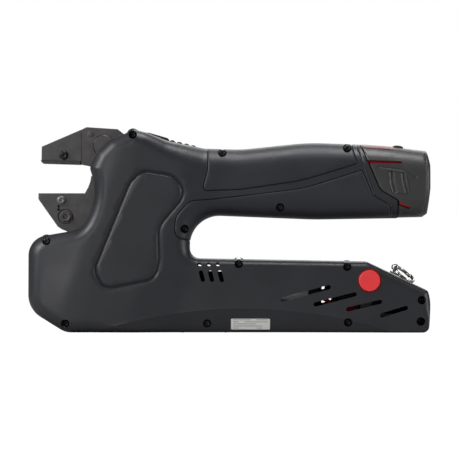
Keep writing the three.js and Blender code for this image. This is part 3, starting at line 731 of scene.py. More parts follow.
def finished(build, name, corner=CORNER):
    """Turns the faces outward and makes the mesh."""
    bmesh.ops.recalc_face_normals(build, faces=build.faces)
    mesh = bpy.data.meshes.new(name)
    build.to_mesh(mesh)
    build.free()
    return shaded(mesh, corner)


def lofted(build, rings, caps=(0, -1), closed=False):
    """Joins each ring of points to the next with faces, and caps the ends listed."""
    for a, b in zip(rings, rings[1:] + (rings[:1] if closed else [])):
        for k in range(len(a)):
            j = (k + 1) % len(a)
            build.faces.new((a[k], a[j], b[j], b[k]))
    for end in caps:
        build.faces.new(rings[end])


def piece(name, mesh, finish, body, slot_name, *nodes):
    """Puts a finished mesh in the scene, on its body, in place of the solid nodes it shows."""
    made = bpy.data.objects.new(name, mesh)
    scene.collection.objects.link(made)
    mesh.materials.clear()
    mesh.materials.append(finish)
    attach(made, body)
    if nodes:
        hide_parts(*nodes)
    print(name, "faces:", len(mesh.polygons))
    return made


# %% [markdown]
# ## The housing shells
# Two nylon halves meet at the parting line. The left one has eleven screw wells and two deep ones
# at the rear, both have three round and three slanted vents under the head and four long slots
# in the arm. The head's groove marks a raised panel. At the front the halves stay apart to let
# the jaws through, and behind the head for the thumb trigger.

# %% Holes, grooves and slots of the shells
SCREW_WELLS = [
    (-66.6, 137.1), (-126.6, 63.4), (-113.3, 6.3), (-4.7, 124.6), (82, 127.7), (-30.7, 71.8),
    (35.4, 86.7), (6.7, 47.6), (81.8, 45.6), (-15.1, 6.3), (82.4, 7.1)]
REAR_WELLS = [(133.4, 22.6), (132.7, 7.8)]
WELL_RADIUS = 3.0
HEAD_RADIUS = 2.2
WELL_SEATS = (-16, -9)
ROUND_VENTS = [(-20.5, 47), (-14.1, 47), (-7.8, 47)]
VENT_RADIUS = 1.6
VENT_SLOTS = [((-19.4, 41.6), (-18.1, 36.6)), ((-13, 41.6), (-11.8, 36.6)),
              ((-6.4, 41.6), (-5, 36.4))]
ARM_SLOTS = [((37.2, 22.9), (69, 31.5)), ((60, 19.6), (86.9, 26.6)),
             ((82.5, 16.2), (104.4, 21.4)), ((105.9, 12.1), (122.3, 17.1))]
SLOT_WIDTH = 3.0
END_BITS = 10       # steps round each end of a slot
BUTTON_CENTRE = (97.2, 36)
BEZEL_RADIUS = 8.4
JAW_WINDOW = [(-66, 146), (-104, 146), (-124, 100), (-124, 57), (-108, 57), (-84, 84),
              (-78, 122), (-66, 128)]
JAW_WINDOW_HALF = 7.6
TRIGGER_WINDOW = [(-59.5, 142), (-59.5, 128), (-16.4, 118), (-16.4, 134)]
TRIGGER_WINDOW_HALF = 8.4


def ring_line(centre, radius, count=32):
    """A circle as a closed line."""
    turn = np.arange(count) * 2 * pi / count
    return np.stack([centre[0] + radius * np.cos(turn), centre[1] + radius * np.sin(turn)], 1)


def slot_line(ends, width, step=0.8):
    """A slot with round ends, as a closed line."""
    a, b = np.array(ends[0]), np.array(ends[1])
    run = (b - a) / np.linalg.norm(b - a)
    start = np.arctan2(run[1], run[0])
    line = []
    for end, turn in ((b, start - pi / 2), (a, start + pi / 2)):
        for k in range(END_BITS + 1):
            angle = turn + pi * k / END_BITS
            line.append(end + width / 2 * np.array([cos(angle), sin(angle)]))
    return even(np.array(line), step)


# %% The shells' own height
GRIP_SINK = 1.0
GRIP_INSET = 0.5
PANEL_GROOVE = 1.3
PANEL_GROOVE_HALF = 1.9
COLLAR = [(88.2, 130.4), (93.8, 116.6), (95.2, 111.5), (101.2, 94.2), (111.3, 89.2), (113.4, 87.6),
          (113.6, 78.9)]
COLLAR_GROOVE = 0.55
COLLAR_GROOVE_HALF = 0.75
collar_path = there_and_back(COLLAR, 1.0)


def groove(points, line, depth, half):
    """Depth of a round-bottomed groove along the closed line."""
    share = np.clip(distance(points, line) / half, 0, 1)
    return depth * (0.5 + 0.5 * np.cos(pi * share))


def shell_height(points):
    """Height of a shell: the form, less its panel groove and the seats of the grips."""
    height = form_height(points) - groove(points, panel_line, PANEL_GROOVE, PANEL_GROOVE_HALF)
    height = height - groove(points, collar_path, COLLAR_GROOVE, COLLAR_GROOVE_HALF)
    for line in (upper_line, lower_line):
        deep = np.where(inside(points, line), distance(points, line), 0)
        height = height - GRIP_SINK * smooth(deep, 0.05, GRIP_INSET)
    return height


# %% The shells' outline and rim
def under_grip(points):
    """True where a grip covers the shell."""
    return inside(points, upper_line) | inside(points, lower_line)


def shell_outline():
    """The shell's outline, drawn in where the grips wrap over it."""
    covered = under_grip(housing_line) & (distance(housing_line, form_line) < 0.05)
    shift = inward(housing_line) * 1.2
    return np.where(covered[:, None], housing_line + shift, housing_line)


shell_line = shell_outline()
window_line = np.array(JAW_WINDOW, float)
trigger_line = np.array(TRIGGER_WINDOW, float)


def rim_floor(points):
    """Where the rim stops: at the parting line, or further out beside a window. 0 is no rim."""
    stop = np.full(len(points), PARTING)
    stop[inside(points, window_line)] = JAW_WINDOW_HALF + PARTING
    stop[inside(points, trigger_line)] = TRIGGER_WINDOW_HALF + PARTING
    stop[distance(points, shell_line) > 0.02] = 0
    return stop


# %% Rows of points along the rim, the grooves and the scoop
RIM_STEPS = 8
vent_lines = [ring_line(c, VENT_RADIUS, 20) for c in ROUND_VENTS]
vent_lines += [slot_line(s, SLOT_WIDTH) for s in VENT_SLOTS + ARM_SLOTS]
rim_share = [1 - cos(k * pi / 2 / RIM_STEPS) for k in range(1, RIM_STEPS + 1)]
rim_rows = rows(form_line, [edge_radius(form_line) * share for share in rim_share])
panel_rows = rows(panel_line, [-1.9, -1.4, -0.95, -0.5, 0.5, 0.95, 1.4, 1.9], 0.9)
crease_span = np.linspace(0.02, 0.98, 140)
crease_path = there_and_back([
    (SCOOP_FROM + (SCOOP_TO - SCOOP_FROM) * t, SCOOP_RISE * sin(pi * t) ** SCOOP_POWER)
    for t in crease_span], 1.4)
crease_rows = np.concatenate([crease_path + (0, shift) for shift in (-1.4, -0.7, 0, 0.7, 1.4)])
collar_rows = np.concatenate([
    collar_path + (shift, 0) for shift in (-0.7, -0.35, 0, 0.35, 0.7)])
print("rows:", len(rim_rows), "rim,", len(panel_rows), "panel,", len(crease_rows), "scoop")


# %% Both shells
GRID = 3.0


def build_shell(side, name, node):
    """One housing half. The left one has the screw wells and the button's hole."""
    wells, holes = [], vent_lines
    if side < 0:
        wells = [(ring_line(c, WELL_RADIUS), -WELL_SEATS[0]) for c in SCREW_WELLS]
        wells += [(ring_line(c, WELL_RADIUS), -WELL_SEATS[1]) for c in REAR_WELLS]
        holes = vent_lines + [ring_line(BUTTON_CENTRE, BEZEL_RADIUS, 48)]
    loose = np.concatenate([
        grid_points(shell_line, GRID, 0.8), thinned(rim_rows, [shell_line], 0.08)])
    loose = loose[inside(loose, shell_line)]
    loose = thinned(loose, [panel_line], 2.6)
    loose = np.concatenate([thinned(loose, [collar_path], 0.9), panel_rows])
    creases = thinned(crease_rows[inside(crease_rows, shell_line)], [shell_line], 0.5)
    loose = np.concatenate([thinned(loose, [crease_path], 1.9), creases])
    inner_collar = thinned(collar_rows[inside(collar_rows, shell_line)], [shell_line], 0.3)
    inner_grip = [rows(line, [GRIP_INSET], 0.9) for line in (upper_line, lower_line)]
    inner_grip = np.concatenate(inner_grip)
    inner_grip = inner_grip[inside(inner_grip, shell_line)]
    loose = thinned(loose, [upper_line, lower_line], 1.1)
    inner_collar = thinned(inner_collar, [upper_line, lower_line], 0.25)
    loose = np.concatenate([loose, thinned(inner_grip, [shell_line], 0.1), inner_collar])
    loose = thinned(loose, [*holes, *(line for line, _ in wells)], 0.5)
    for line in [*holes, *(line for line, _ in wells)]:
        loose = loose[~inside(loose, line)]

    mesh = skin_mesh(name, side, [shell_line, panel_line, upper_line, lower_line, *holes], loose,
                     covering([shell_line], holes), shell_height, rim_floor, wells)
    return piece(name, mesh, glass_filled_nylon, "housing", "housing_nylon", node)


build_shell(-1, "left_shell_moulding", "left_body_shell")
build_shell(1, "right_shell_moulding", "right_body_shell")

# %% [markdown]
# ## The rubber grips
# Two soft panels per side are moulded over the handle. They follow the form a little proud of the
# nylon, and their edges round over into a fine dark joint. The upper and lower panels stop short
# of each other, so a band of nylon runs along the handle between them.

# %% Grips
GRIP_PROUD = 0.25
GRIP_EDGE = 1.0
GRIP_EDGE_DROP = 0.9
GRIP_GAP = 0.4
GRIP_WALL = 0.9
GRIP_HOLES = [(-4.7, 124.6), (82, 127.7), (-30.7, 71.8), (35.4, 86.7)]


def outline_rim(points):
    """A rim that runs down to the parting line along the form's outline only."""
    stop = np.full(len(points), PARTING)
    stop[distance(points, form_line) > 0.02] = 0
    return stop


def build_grip(side, line, name, node):
    """One grip panel, from the closed line that marks its joint with the nylon."""
    line = line + inward(line) * GRIP_GAP
    holes = [ring_line(c, WELL_RADIUS + 0.1) for c in GRIP_HOLES] if side < 0 else []
    holes = [h for h in holes if inside(h.mean(0)[None], line)[0]]

    def height(points):
        near = np.clip(distance(points, line) / GRIP_EDGE, 0, 1)
        return form_height(points) + GRIP_PROUD - GRIP_EDGE_DROP * (1 - near) ** 2

    loose = np.concatenate([grid_points(line, GRID, 1.4), thinned(rim_rows, [line], 1.3)])
    loose = loose[inside(loose, line) & inside(loose, form_line)]
    edge = rows(line, [0.25, 0.5, 1.0], 0.9)
    edge = edge[inside(edge, form_line)]
    loose = thinned(loose, [form_line], 0.08)
    loose = thinned(np.concatenate([loose, thinned(edge, [form_line], 0.1)]), holes, 0.5)
    mesh = skin_mesh(name, side, [form_line, line, *holes], loose,
                     covering([line, form_line], holes), height, outline_rim, wall=GRIP_WALL)
    return piece(name, mesh, soft_tpe_rubber, "housing", "grip_rubber", node)


for side, word in ((-1, "left"), (1, "right")):
    build_grip(side, upper_line, word + "_upper_grip_pad", word + "_upper_grip")
    build_grip(side, lower_line, word + "_lower_grip_pad", word + "_lower_grip")

# %% [markdown]
# ## The battery
# The pack is a black case over a core. It carries on the handle's form and is closed by its
# rounded end. A slim slot under the top and a short one at the foot show red liners, and a
# thin joint marks the end cap. On each side a latch pad with two finger grooves is pressed to
# free the pack. The case and the pads are skins like the housing; the red shows on liners
# that lie a little deeper, so that the slots are real openings with real shadows.

# %% Battery case
CASE_WALL = 1.2
CASE_GRID = 2.0
STRIPE = [(94.6, 119.6), (119.2, 118.6), (119.9, 117.8), (119.2, 117.0), (98.4, 117.0),
          (97.4, 115.2), (96.2, 115.1)]
FOOT_SLOT = [(115.6, 92.3), (125.4, 87.4), (125.7, 86.0), (124.8, 85.3), (116.6, 88.3)]
LATCH_PAD = [(109.2, 112.0, 1.5), (122.9, 110.8, 1.5), (125.8, 95.6, 2), (112.4, 96.8, 2)]
LATCH_GAP = 0.12
FINGER_GROOVES = [
    [(112.3, 112), (112.9, 104), (114.6, 97.5)], [(120.2, 112), (121.3, 104), (123.4, 96.5)]]
FINGER_DEPTH = 1.3
FINGER_HALF = 1.9
PAD_TOP_GROOVE = [(103.5, 114.9), (118.4, 112.9), (121.5, 112.1), (129.3, 107.4)]
CAP_GROOVE = [(136.3, 124), (136.9, 112), (136.7, 98), (134.9, 83)]
PAD_TOP_SIZE, CAP_SIZE = (0.7, 0.9), (0.5, 0.7)     # depth and half width of the two grooves
SEAM_DROP, SEAM_ROUND = 0.5, 0.9
LINER_DEPTH = 2.0       # how far the red liners lie below the case's face

stripe_line, foot_slot_line = (even(np.array(c, float), 1.2) for c in (STRIPE, FOOT_SLOT))
latch_line = rounded(LATCH_PAD, 0.8)
latch_hole = latch_line - inward(latch_line) * LATCH_GAP
finger_paths = [there_and_back(p) for p in FINGER_GROOVES]
pad_top_path, cap_path = there_and_back(PAD_TOP_GROOVE), there_and_back(CAP_GROOVE)
pack_line = rounded(PACK_END + [(91.4, 130.6), (99.7, 111.4), (104.9, 99, 8), (117.2, 91.8)])


# %% Heights of the case, the latch pad and the liners
def case_height(points):
    """The form, with the groove over the pad, the cap's joint and a rounded seam edge."""
    height = form_height(points)
    height = height - groove(points, pad_top_path, *PAD_TOP_SIZE)
    height = height - groove(points, cap_path, *CAP_SIZE)
    seam = np.where(distance(points, form_line) > 0.3, distance(points, pack_line), 9)
    return height - SEAM_DROP * (1 - np.clip(seam / SEAM_ROUND, 0, 1)) ** 2


def pad_height(points):
    """The latch pad: the form with two finger grooves and a rounded edge."""
    height = form_height(points) - 0.1
    for path in finger_paths:
        height = height - groove(points, path, FINGER_DEPTH, FINGER_HALF)
    return height - 0.2 * (1 - np.clip(distance(points, latch_line) / 0.5, 0, 1)) ** 2


def liner_height(points):
    """The red liner under the slots."""
    return form_height(points) - LINER_DEPTH


# %% Both halves of the case
def build_case(side, word):
    """One half of the battery case, with its slots and the latch pad's opening."""
    holes = [stripe_line, foot_slot_line, latch_hole]
    fine = np.concatenate([
        path + np.array(shift) for path in (pad_top_path, cap_path)
        for shift in ((-0.7, 0), (-0.35, 0), (0.35, 0), (0.7, 0), (0, 0.45), (0, -0.45))])
    loose = np.concatenate([
        grid_points(pack_line, CASE_GRID, 0.8), thinned(rim_rows, [pack_line], 0.3)])
    loose = np.concatenate([thinned(loose, [pad_top_path, cap_path], 0.9), fine])
    edge = rows(pack_line, [0.3, 0.6, 0.9], 0.9)
    loose = np.concatenate([loose, thinned(edge, [form_line], 0.3)])
    loose = thinned(loose[inside(loose, pack_line)], [form_line, *holes], 0.25)
    name = word + "_battery_case"
    mesh = skin_mesh(name, side, [form_line, pack_line, *holes], loose,
                     covering([pack_line, form_line], holes), case_height, outline_rim,
                     wall=CASE_WALL)
    return piece(name, mesh, battery_abs, "battery_pack", "battery_plastic", "battery_shell")


def build_patch(side, name, line, height, finish, body, slot_name, spacing, wall, *nodes):
    """A small skin inside one closed line."""
    loose = np.concatenate([grid_points(line, spacing, 0.5), rows(line, [0.3, 0.8], 0.9)])
    loose = loose[inside(loose, form_line)]
    mesh = skin_mesh(name, side, [line], thinned(loose, [line], 0.2), covering([line], []),
                     height, wall=wall)
    return piece(name, mesh, finish, body, slot_name, *nodes)


# %% Latch pads and liners
LATCH_WALL, LINER_WALL = 0.6, 0.8
STRIPE_LINER = [(95.5, 121.2), (122, 120.4), (122, 114.8), (98.6, 114.5)]
FOOT_LINER = [(117.9, 92.6), (127.4, 89), (127.4, 83.4), (118.1, 85.2)]
for side, word in ((-1, "left"), (1, "right")):
    build_case(side, word)
    build_patch(side, word + "_latch_button", latch_line, pad_height, battery_abs,
                word + "_latch", "battery_plastic", 0.8, LATCH_WALL, word + "_latch_pad")
    for name, shape in (("_stripe_liner", STRIPE_LINER), ("_foot_liner", FOOT_LINER)):
        build_patch(side, word + name, even(np.array(shape, float), 1.5), liner_height,
                    red_polycarbonate, "battery_pack", "red_plastic", 1.5, LINER_WALL)

# %% [markdown]
# ## Turned pieces
# Screws, the pivot, the button and its bezel come off a lathe or look as if they do. A lathe
# piece is a profile of radius against depth, carried round a circle. Where the profile turns
# into a socket, the same ring of points is pressed into a hexagon, so the socket needs no cut.
# Small chamfers go into the profile itself: they catch the thin bright rings the eye expects.


# %% The lathe
RING_POINTS = 48


def turned(name, centre, profile, side=-1, hexagon=(), open_middle=False):
    """Turns (radius, depth) steps about an axis along Y; steps listed in hexagon are six-sided.

    With an open middle the last step joins the first again, which makes a ring.
    """
    build = bmesh.new()
    circles = []
    for index, (radius, depth) in enumerate(profile):
        ring = []
        for k in range(RING_POINTS):
            turn = 2 * pi * k / RING_POINTS
            reach = radius
            if index in hexagon:
                reach = radius * cos(pi / 6) / cos((turn % (pi / 3)) - pi / 6)
            ring.append(build.verts.new((
                (centre[0] + reach * cos(turn)) * MM, side * depth * MM,
                (centre[1] + reach * sin(turn)) * MM)))
        circles.append(ring)
    lofted(build, circles, caps=() if open_middle else (0, -1), closed=open_middle)
    return finished(build, name)


# %% Housing screws
def screw_profile(radius, seat, height, socket, tail):
    """A pan head with a socket, from its tail up to its crown and down into the socket."""
    top = seat + height
    return [
        (radius * 0.5, seat - tail), (radius * 0.5, seat), (radius - 0.1, seat),
        (radius, seat + 0.15), (radius, top - 0.8), (radius * 0.93, top - 0.35),
        (radius * 0.75, top - 0.08),
        (socket + 0.5, top), (socket + 0.2, top), (socket, top - 0.15), (socket, top - 1.3)]


HEAD_HEIGHT = 2.2
SOCKET = 1.1
SOCKET_STEPS = (9, 10)
SEAT_GAP = 0.02
SCREW_TAIL = 4
for kind, node, wells, depth in (
        ("case_screw", "housing_screw", SCREW_WELLS, -WELL_SEATS[0]),
        ("deep_screw", "rear_screw", REAR_WELLS, -WELL_SEATS[1])):
    profile = screw_profile(HEAD_RADIUS, depth + SEAT_GAP, HEAD_HEIGHT, SOCKET, SCREW_TAIL)
    for i, centre in enumerate(wells, 1):
        mesh = turned(kind, centre, profile, hexagon=SOCKET_STEPS)
        piece(f"{kind}_{i}", mesh, black_oxide_steel, "housing", "black_screw_steel",
              f"{node}_{i}")

# %% Pivot, jaw screws and adjuster
PIVOT = (-87.2, 129.9)
PIVOT_DISC = [(4.0, -4.8), (4.0, 4.8), (7.3, 4.8), (7.4, 4.95), (7.4, 7.3), (7.1, 7.6)]
piece("pivot_disc", turned("pivot_disc", PIVOT, PIVOT_DISC), ground_tool_steel, "housing",
      "jaw_steel", "pivot_pin")
PIVOT_BACK = [(4.2, 4.85), (7.3, 4.85), (7.4, 5.0), (7.4, 7.3), (7.1, 7.6), (2.2, 7.6),
              (2.0, 7.4), (2.0, 6.2)]
piece("pivot_back_disc", turned("pivot_back_disc", PIVOT, PIVOT_BACK, 1, hexagon=(6, 7)),
      ground_tool_steel, "housing", "jaw_steel", "pivot_nut")

BUTTON_HEAD = [
    (1.5, -6.5), (1.5, 7.06), (3.0, 7.06), (3.2, 7.2), (3.2, 7.5), (2.95, 8.2), (2.4, 8.8),
    (1.75, 9.08), (1.45, 9.1), (1.25, 8.9), (1.25, 7.7)]
TIP_SCREW = (-115.2, 123.2)
ANVIL_SCREW = (-117, 91.9)
piece("jaw_tip_button_screw", turned("tip_screw", TIP_SCREW, BUTTON_HEAD, hexagon=(9, 10)),
      black_oxide_steel, "upper_jaw", "black_screw_steel", "jaw_tip_screw")
piece("anvil_button_screw", turned("anvil_screw", ANVIL_SCREW, BUTTON_HEAD, hexagon=(9, 10)),
      zinc_plated_steel, "housing", "bright_steel", "anvil_screw")

ADJUSTER = (-113.9, 80.5)
WASHER = [(2.3, 5.5), (4.55, 5.5), (4.7, 5.65), (4.7, 6.6), (4.5, 6.8), (3.0, 6.8)]
BOLT = [
    (2.0, -5), (2.0, 6.85), (3.7, 6.85), (3.9, 7.05), (3.9, 8.6), (3.6, 9.0), (2.3, 9.0),
    (2.0, 8.85), (2.0, 7.4)]
piece("adjuster_lock_washer", turned("adjuster_washer", ADJUSTER, WASHER), phosphated_tool_steel,
      "housing", "jaw_steel", "adjuster_washer")
piece("adjuster_bolt_head", turned("adjuster_bolt", ADJUSTER, BOLT, hexagon=(2, 3, 4, 5, 7, 8)),
      ground_tool_steel, "housing", "bright_steel", "adjuster_bolt")

DOWEL_CENTRE = (-96.5, 138.1)
DOWEL = [(2.5, 4.2), (2.5, 6.75), (2.3, 6.88)]
piece("jaw_dowel", turned("jaw_dowel", DOWEL_CENTRE, DOWEL), phosphated_tool_steel, "upper_jaw",
      "jaw_steel")

# %% Red button and bezel
BUTTON_DISC = [
    (6.4, 21.0), (7.3, 21.0), (7.4, 21.2), (7.4, 24.6), (7.2, 24.95), (6.8, 25.08), (6.0, 25.02),
    (3.0, 24.92)]
BEZEL = [(7.55, 20.2), (8.25, 20.2), (8.3, 20.4), (8.3, 24.45), (8.15, 24.65), (7.8, 24.7),
         (7.62, 24.5)]
piece("red_push_button", turned("red_push_button", BUTTON_CENTRE, BUTTON_DISC), red_lacquer,
      "button", "red_plastic", "red_button")
piece("button_ring", turned("button_ring", BUTTON_CENTRE, BEZEL, open_middle=True),
      dark_red_polycarbonate, "housing", "dark_red_plastic", "button_bezel")

# %% [markdown]
# ## The jaws
# The fixed jaw is one thick plate with an anvil set on top, and a bolt with a lock washer sits in
# a round pocket in its face. Both are plates cut from thick steel with a small chamfer broken
# along the outer edges; where two plates meet there is no chamfer, so the joint is a hairline.
# A plate is drawn as its outline, repeated with small offsets, which gives an even chamfer.


# %% The plate maker
def offset_corners(corners, insets):
    """The outline with each side moved inward by its own distance, corners remitred."""
    count = len(corners)
    points = [Vector(c) for c in corners]
    area = sum(a.x * b.y - b.x * a.y for a, b in zip(points, points[1:] + points[:1]))
    sides = []
    for i in range(count):
        run = (points[(i + 1) % count] - points[i]).normalized()
        normal = Vector((-run.y, run.x)) * (1 if area > 0 else -1)
        sides.append((points[i] + normal * insets[i], run))
    moved = []
    for i in range(count):
        (p, u), (q, v) = sides[i - 1], sides[i]
        cross = u.x * v.y - u.y * v.x
        if abs(cross) < 1e-6:
            moved.append(q)
            continue
        t = ((q.x - p.x) * v.y - (q.y - p.y) * v.x) / cross
        moved.append(p + u * t)
    return moved


PLATE_CORNER = 20       # a plate keeps even its fine chamfers as corners


def plate(name, corners, low, high, chamfer, plain=(), wells=()):
    """A flat plate between two depths; sides listed in plain keep a sharp edge."""
    build = bmesh.new()
    layers = []
    for share, lift in ((1.0, 0.0), (0.35, 0.3), (0.0, 1.0)):
        insets = [0 if i in plain else chamfer * share for i in range(len(corners))]
        layers.append((offset_corners(corners, insets), chamfer * lift))
    rings = [(layer, low + lift) for layer, lift in layers]
    rings += [(layer, high - lift) for layer, lift in layers[::-1]]
    circles = [[build.verts.new((p.x * MM, y * MM, p.y * MM)) for p in layer] for layer, y in rings]
    lofted(build, circles, caps=(-1,) if wells else (-1, 0))
    if wells:
        face_line = np.array([tuple(p) for p in layers[0][0]])
        flat, faces = triangles([face_line, *(line for line, _ in wells)], [])
        placed = {}
        for f in faces:
            middle = flat[list(f)].mean(0)[None]
            if not inside(middle, face_line)[0] or any(inside(middle, w)[0] for w, _ in wells):
                continue
            for i in f:
                if i not in placed:
                    near = min(circles[0], key=lambda v: abs(v.co.x - flat[i][0] * MM)
                               + abs(v.co.z - flat[i][1] * MM))
                    gap = abs(near.co.x - flat[i][0] * MM) + abs(near.co.z - flat[i][1] * MM)
                    placed[i] = near if gap < 1e-6 else build.verts.new(
                        (flat[i][0] * MM, low * MM, flat[i][1] * MM))
            build.faces.new([placed[i] for i in f])
        for line, seat in wells:
            sink_well(build, line, seat * MM)
    return finished(build, name, PLATE_CORNER)


# %% Fixed jaw
JAW_HALF = 7.0
JAW_CHAMFER = 0.3
ANVIL_PLATE = [(-133, 92.7), (-132.9, 96.7), (-100.82, 96.7), (-100.82, 86.42), (-124.35, 86.42)]
FIXED_JAW = [
    (-132.75, 92.3), (-119.6, 73.6), (-116.4, 71.4), (-113.2, 70.2), (-111, 66), (-107.5, 66),
    (-100.5, 75), (-93.5, 84), (-90.2, 94), (-90.2, 104), (-91, 108.6), (-96.1, 108.8),
    (-96.8, 104.7), (-98.4, 100.6), (-100.6, 96.7), (-100.8, 86.4), (-124.37, 86.4)]
KEYHOLE_SEAT, POCKET_SEAT = -3.5, -5.3
KEYHOLE_TOP = [(-119.7, 86.7), (-117.6, 86.7), (-118.0, 88.4), (-119.3, 88.5)]
KEYHOLE_FOOT = [(-119.8, 86.1), (-119.5, 84.6), (-118.4, 84.2), (-117.4, 86.1)]
POCKET = ring_line(ADJUSTER, 5.6, 40)
keyhole_top, keyhole_foot = (even(np.array(c), 0.6) for c in (KEYHOLE_TOP, KEYHOLE_FOOT))
piece("anvil_plate", plate("anvil_plate", ANVIL_PLATE, -JAW_HALF, JAW_HALF, JAW_CHAMFER,
                           plain=(2, 3, 4), wells=[(keyhole_top, KEYHOLE_SEAT)]),
      phosphated_tool_steel, "housing", "jaw_steel", "anvil_block")
piece("fixed_jaw_plate", plate("fixed_jaw_plate", FIXED_JAW, -JAW_HALF, JAW_HALF, JAW_CHAMFER,
                               plain=(14, 15, 16), wells=[
                                   (POCKET, POCKET_SEAT), (keyhole_foot, KEYHOLE_SEAT)]),
      phosphated_tool_steel, "housing", "jaw_steel", "lower_jaw")

# %% Edge strip and tongue
STRIP_HALF, STRIP_CHAMFER = 5.6, 0.7
TONGUE_HALF = 3.2
JAW_EDGE = [(-131.3, 119.86), (-131.3, 118.9), (-129.7, 117.4), (-103.4, 116.6), (-103.25, 119.24)]
piece("jaw_edge_strip", plate("jaw_edge_strip", JAW_EDGE, -STRIP_HALF, STRIP_HALF, STRIP_CHAMFER,
                              plain=(0, 4)),
      phosphated_tool_steel, "upper_jaw", "jaw_steel", "jaw_edge")
TONGUE = [
    (-106, 67), (-104, 60), (-86, 62), (-76, 84), (-76, 108), (-79, 119), (-86, 119),
    (-95.6, 112.8), (-93.6, 110.2), (-94.6, 106), (-94, 90)]
piece("jaw_tongue", plate("jaw_tongue", TONGUE, -TONGUE_HALF, TONGUE_HALF, 0.2),
      phosphated_tool_steel, "housing", "jaw_steel")

# %% Edges broken on the moving jaw and the small plates
EASED = {
    "upper_jaw_arm": (phosphated_tool_steel, 0.3), "jaw_tip": (phosphated_tool_steel, 0.35),
    "lanyard_post": (polished_nickel, 0.3), "drive_nut": (rolled_brass, 0.3),
    "lead_screw": (bright_turned_steel, 0.0), "shaft_coupling": (bright_turned_steel, 0.3),
    "front_bearing": (bright_turned_steel, 0.3), "thrust_bearing": (bright_turned_steel, 0.3),
    "gearbox_case": (inner_black_nylon, 0.4), "motor_can": (bright_turned_steel, 0.5),
    "motor_end_cap": (inner_black_nylon, 0.4), "control_board": (solder_mask_board, 0.0),
    "board_capacitor": (black_pvc_sleeve, 0.4), "switch_block": (inner_black_nylon, 0.3),
    "battery_receiver": (inner_black_nylon, 0.3), "motor_wire": (red_pvc_sleeve, 0.0),
    "power_wire": (black_pvc_sleeve, 0.0), "button_switch": (inner_black_nylon, 0.3),
    "battery_core": (battery_abs, 0.5), "battery_contacts": (rolled_brass, 0.1),
    "cell_1": (polished_nickel, 0.4), "cell_2": (polished_nickel, 0.4),
    "cell_3": (polished_nickel, 0.4)}


def ease_edges(node, finish, chamfer):
    """Gives a solid node its finish, merges its flat faces and breaks its edges."""
    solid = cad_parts[node]
    solid.data.materials.clear()
    solid.data.materials.append(finish)
    flatten = solid.modifiers.new("flat_faces", "DECIMATE")
    flatten.decimate_type = "DISSOLVE"
    flatten.angle_limit = radians(1)
    if chamfer:
        bevel = solid.modifiers.new("broken_edges", "BEVEL")
        bevel.width = chamfer * MM
        bevel.segments = 2
        bevel.angle_limit = radians(25)
        bevel.harden_normals = False


for node, (finish, chamfer) in EASED.items():
    ease_edges(node, finish, chamfer)
print("nodes eased:", len(EASED))

# %% [markdown]
# ## Label and lanyard ring
# The label is a thin foil plate on the slope of the scoop. The ring is a split ring: spring wire
# wound twice round, so that a lanyard can be threaded on. It hangs from a small eye post.

# %% Label
LABEL_FACE = 24.5
LABEL_ROUND = 0.7
LABEL_PROUD = 0.12
LABEL_SINK = 0.33       # how far the plate's middle is from the bare slope


def label_mesh():
    """The label's plate lying flat at the origin, facing -Y, with rounded corners."""
    x, z = LABEL_SIZE[0] / 2, LABEL_SIZE[1] / 2
    corners = [(-x, -z), (x, -z), (x, z), (-x, z)]
    line = [tuple(p) for p in rounded([(*c, LABEL_ROUND) for c in corners], 1.0)]
    return plate("label", line, -LABEL_PROUD, LABEL_THICK - 0.15, 0.08)


label = bpy.data.objects.new("rating_label", label_mesh())
scene.collection.objects.link(label)
label.location = (
    LABEL_CENTRE[0] * MM,
    (-LABEL_FACE + (SCOOP_RISE - LABEL_CENTRE[1]) * SCOOP_SLOPE - LABEL_SINK) * MM,
    LABEL_CENTRE[1] * MM)
label.rotation_euler = (SCOOP_LEAN, 0, 0)
label.data.materials.append(satin_label_foil)
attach(label, "housing")
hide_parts("label_plate")

# %% Split ring
RING_RADIUS = 8.0
RING_WIRE = 0.75
RING_LEAN = radians(39)
RING_TURNS = 2
RING_ROLL = radians(17)
WIRE_START = 1.0        # where round the ring the wire's end lies, in radians
WIND_SHARE = 0.55       # how far apart the two turns lie, as a share of the wire
POST = (116.2, 45.0)


def tube(name, path, radius, sides=12):
    """A round wire along a path of points in mm."""
    build = bmesh.new()
    points = [Vector(p) for p in path]
    up = Vector((0, 1, 0))
    circles = []
    for i, here in enumerate(points):
        ahead = (points[min(i + 1, len(points) - 1)] - points[max(i - 1, 0)]).normalized()
        across = ahead.cross(up).normalized() if abs(ahead.dot(up)) < 0.95 else across
        square = across.cross(ahead).normalized()
        across = ahead.cross(square).normalized()
        up = square
        circles.append([build.verts.new(
            (here + (across * cos(a) + square * sin(a)) * radius) * MM)
            for a in (2 * pi * k / sides for k in range(sides))])
    lofted(build, circles)
    return finished(build, name)


def ring_path(steps=140):
    """Two close turns of wire, leaning down and back from the post, wound along their axis."""
    down = Vector((cos(RING_LEAN), 0, -sin(RING_LEAN)))
    up = Vector((sin(RING_LEAN), 0, cos(RING_LEAN)))
    out = Vector((0, cos(RING_ROLL), 0)) + up * sin(RING_ROLL)
    axle = up * cos(RING_ROLL) - Vector((0, sin(RING_ROLL), 0))
    centre = Vector((POST[0], 0, POST[1])) + down * RING_RADIUS
    path = []
    for k in range(steps + 1):
        turn = 2 * pi * RING_TURNS * k / steps
        wind = (k / steps - 0.5) * RING_WIRE * 2 * RING_TURNS * WIND_SHARE
        around = down * cos(turn + WIRE_START) + out * sin(turn + WIRE_START)
        path.append(centre + around * RING_RADIUS + axle * wind)
    return path


piece("lanyard_split_ring", tube("split_ring", ring_path(), RING_WIRE), polished_nickel, "ring",
      "nickel", "split_ring")

# %% [markdown]
# ## Thumb trigger
# The trigger is a black nylon slab in the back of the head. Its front is a smooth lid and its
# rear half has four round ridges for the thumb. The ridges are part of the slab's outline, each
# drawn as one wave, so that they are real shapes from every side.

